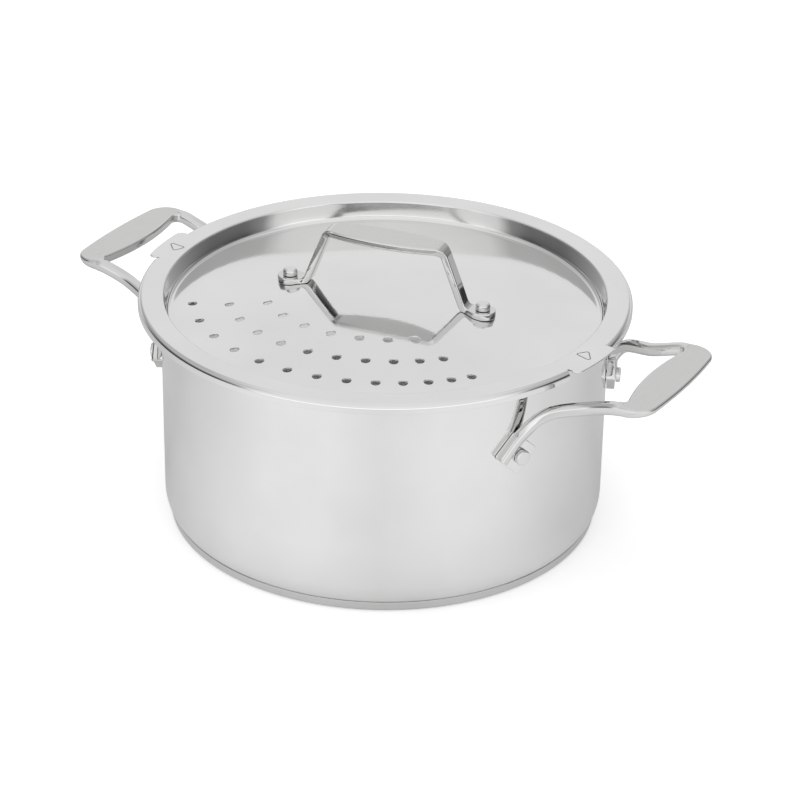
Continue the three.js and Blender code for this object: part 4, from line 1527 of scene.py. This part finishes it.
# Floor: half its width, its place just under the pot, its clouds, and its own glow for the camera and in the metal
FLOOR_REACH = 4.0
FLOOR_DROP = 0.3 * MM
FLOOR_CLOUDS = 3.0
FLOOR_COLOUR = (0.995, 1.005)
FLOOR_GLOW = 0.46
FLOOR_GLOW_IN_METAL = 0.2

# Lamps: the soft one overhead with the place it is aimed at, and the faint one in the pot
SOFT_SIZE = 1.6
SOFT_PLACE = (-0.1, -0.15, 2.0)
SOFT_AIM = (0, 0, 0.06)
INSIDE_SIZE = 0.2
INSIDE_PLACE = (0, 0, 0.03)


def set_camera(scene):
    """Places the camera, and returns the level direction to its right."""
    stage = scene.stockpot_stage
    back = Vector((math.sin(stage.azimuth) * math.cos(stage.elevation),
                   -math.cos(stage.azimuth) * math.cos(stage.elevation), math.sin(stage.elevation)))
    right = Vector((math.cos(stage.azimuth), math.sin(stage.azimuth), 0))
    up = back.cross(right)
    rolled = right * math.cos(stage.roll) + up * math.sin(stage.roll)
    upright = up * math.cos(stage.roll) - right * math.sin(stage.roll)
    data = bpy.data.cameras.new("camera")
    data.sensor_fit = "HORIZONTAL"
    data.sensor_width = SENSOR
    data.lens = stage.lens
    data.clip_end = FAR
    camera = bpy.data.objects.new("camera", data)
    place = Matrix((rolled, upright, back)).transposed().to_4x4()
    place.translation = Vector(stage.target) + back * stage.distance
    camera.matrix_world = place
    scene.collection.objects.link(camera)
    scene.camera = camera
    return right


def set_room(scene, right):
    """White all round for the camera. In the metal, rings of grey tones under a pale ceiling, with a dark screen
    on either side. For other rays, an even light."""
    world = bpy.data.worlds.new("room")
    world.use_nodes = True
    scene.world = world
    room = Nodes(world.node_tree)
    path = room.node("ShaderNodeLightPath").outputs
    look = room.node("ShaderNodeTexCoord").outputs["Generated"]
    height = room.node("ShaderNodeSeparateXYZ", {0: look}).outputs[2]
    turned_by = room.round_about(look, right)
    seen = room.tones(turned_by, LOW_TONES)
    for (low, high), above in (
        (LOW_TO_ROOM, room.tones(turned_by, ROOM_TONES)),
        (ROOM_TO_UPPER, room.tones(turned_by, UPPER_TONES)),
        (UPPER_TO_CEILING, CEILING_TONE),
    ):
        part = room.node("ShaderNodeMapRange", {"Value": height, "From Min": low, "From Max": high},
                         interpolation_type="SMOOTHSTEP").outputs[0]
        seen = room.mixed(part, seen, above)
    level = room.mixed(path["Is Glossy Ray"], scene.stockpot_stage.ambient, seen)
    level = room.mixed(path["Is Camera Ray"], level, 1.0)
    ground = room.nodes["Background"].inputs
    ground["Color"].default_value = (1.0, 1.0, 1.0, 1.0)
    room.links.new(level, ground["Strength"])


def floor_material(scene, right):
    """Pale floor that takes shadows and looks white where none falls. In the metal only, painted shade darkens it
    behind the pot.
    """
    finish = Finish("floor")
    finish.nodes.remove(finish.shader)
    path = finish.node("ShaderNodeLightPath").outputs
    cloud = finish.noise(finish.place, Scale=FLOOR_CLOUDS)
    tone = finish.cloudy(cloud, scene.stockpot_stage.floor, *FLOOR_COLOUR)
    # Painted shade: for glossy rays only, the floor's colour and glow are darkened by place round the pot
    fall = finish.tones(finish.round_about(finish.place, right), FLOOR_PAINTED_SHADE, "B_SPLINE")
    painted_shade_in_metal = finish.mixed(path["Is Glossy Ray"], 1.0, fall)
    shaded = finish.node("ShaderNodeVectorMath", {0: tone, "Scale": painted_shade_in_metal}, operation="SCALE").outputs[0]
    matt = finish.node("ShaderNodeBsdfDiffuse", {"Color": shaded}).outputs[0]
    mirrored = finish.maths("MAXIMUM", path["Is Glossy Ray"], path["Is Transmission Ray"])
    mirrored_glow = finish.maths("MULTIPLY", finish.maths("MULTIPLY", mirrored, FLOOR_GLOW_IN_METAL), painted_shade_in_metal)
    level = finish.maths("ADD", finish.maths("MULTIPLY", path["Is Camera Ray"], FLOOR_GLOW), mirrored_glow)
    glow = finish.node("ShaderNodeEmission", {"Strength": level}).outputs[0]
    both = finish.node("ShaderNodeAddShader", {0: matt, 1: glow}).outputs[0]
    finish.links.new(both, finish.nodes["Material Output"].inputs["Surface"])
    return finish.material


def disk_lamp(scene, name, size, energy, place):
    """A round lamp that shines down."""
    data = bpy.data.lights.new(name, "AREA")
    data.shape = "DISK"
    data.size = size
    data.energy = energy
    lamp = bpy.data.objects.new(name, data)
    lamp.location = place
    scene.collection.objects.link(lamp)
    return lamp


class STOCKPOT_OT_stage(bpy.types.Operator):
    """Sets the camera, the room, the lamps and the floor"""

    bl_idname = "stockpot.stage"
    bl_label = "Stage"

    def execute(self, context):
        scene = context.scene
        stage = scene.stockpot_stage
        right = set_camera(scene)
        set_room(scene, right)
        soft = disk_lamp(scene, "soft_lamp", SOFT_SIZE, stage.lamp, SOFT_PLACE)
        soft.rotation_euler = (Vector(SOFT_AIM) - soft.location).to_track_quat("-Z", "Y").to_euler()
        soft.visible_glossy = False
        inside = disk_lamp(scene, "inside_lamp", INSIDE_SIZE, stage.inside_lamp, INSIDE_PLACE)
        inside.rotation_euler = (math.pi, 0, 0)
        inside.visible_camera = False
        form = bmesh.new()
        bmesh.ops.create_grid(form, x_segments=8, y_segments=8, size=FLOOR_REACH)
        form.transform(Matrix.Translation((0, 0, -FLOOR_DROP)))
        floor = to_object("floor", form, [floor_material(scene, right)])
        scene.view_settings.view_transform = "Standard"
        return {"FINISHED"}


OPERATORS = (
    STOCKPOT_OT_pot,
    STOCKPOT_OT_side_handles,
    STOCKPOT_OT_side_rivets,
    STOCKPOT_OT_strainer_lid,
    STOCKPOT_OT_marks,
    STOCKPOT_OT_lid_handle,
    STOCKPOT_OT_lid_rivets,
    STOCKPOT_OT_stage,
)


class STOCKPOT_PT_build(bpy.types.Panel):
    """Builds the stockpot's pieces in order"""

    bl_idname = "STOCKPOT_PT_build"
    bl_label = "Stockpot"
    bl_space_type = "VIEW_3D"
    bl_region_type = "UI"
    bl_category = "Stockpot"

    def draw(self, context):
        for operator in OPERATORS:
            self.layout.operator(operator.bl_idname)
        for name, group in SETTINGS:
            box = self.layout.box()
            box.label(text=group.__doc__)
            for key in group.__annotations__:
                box.prop(getattr(context.scene, name), key)


CLASSES = (*[group for _, group in SETTINGS], *OPERATORS, STOCKPOT_PT_build)


def register():
    for item in CLASSES:
        bpy.utils.register_class(item)
    for name, group in SETTINGS:
        setattr(bpy.types.Scene, name, PointerProperty(type=group))


def unregister():
    for name, _ in SETTINGS:
        delattr(bpy.types.Scene, name)
    for item in reversed(CLASSES):
        bpy.utils.unregister_class(item)


def main():
    register()
    bpy.ops.stockpot.pot()
    bpy.ops.stockpot.side_handles()
    bpy.ops.stockpot.side_rivets()
    bpy.ops.stockpot.strainer_lid()
    bpy.ops.stockpot.marks()
    bpy.ops.stockpot.lid_handle()
    bpy.ops.stockpot.lid_rivets()
    bpy.ops.stockpot.stage()


if __name__ == "__main__":
    main()
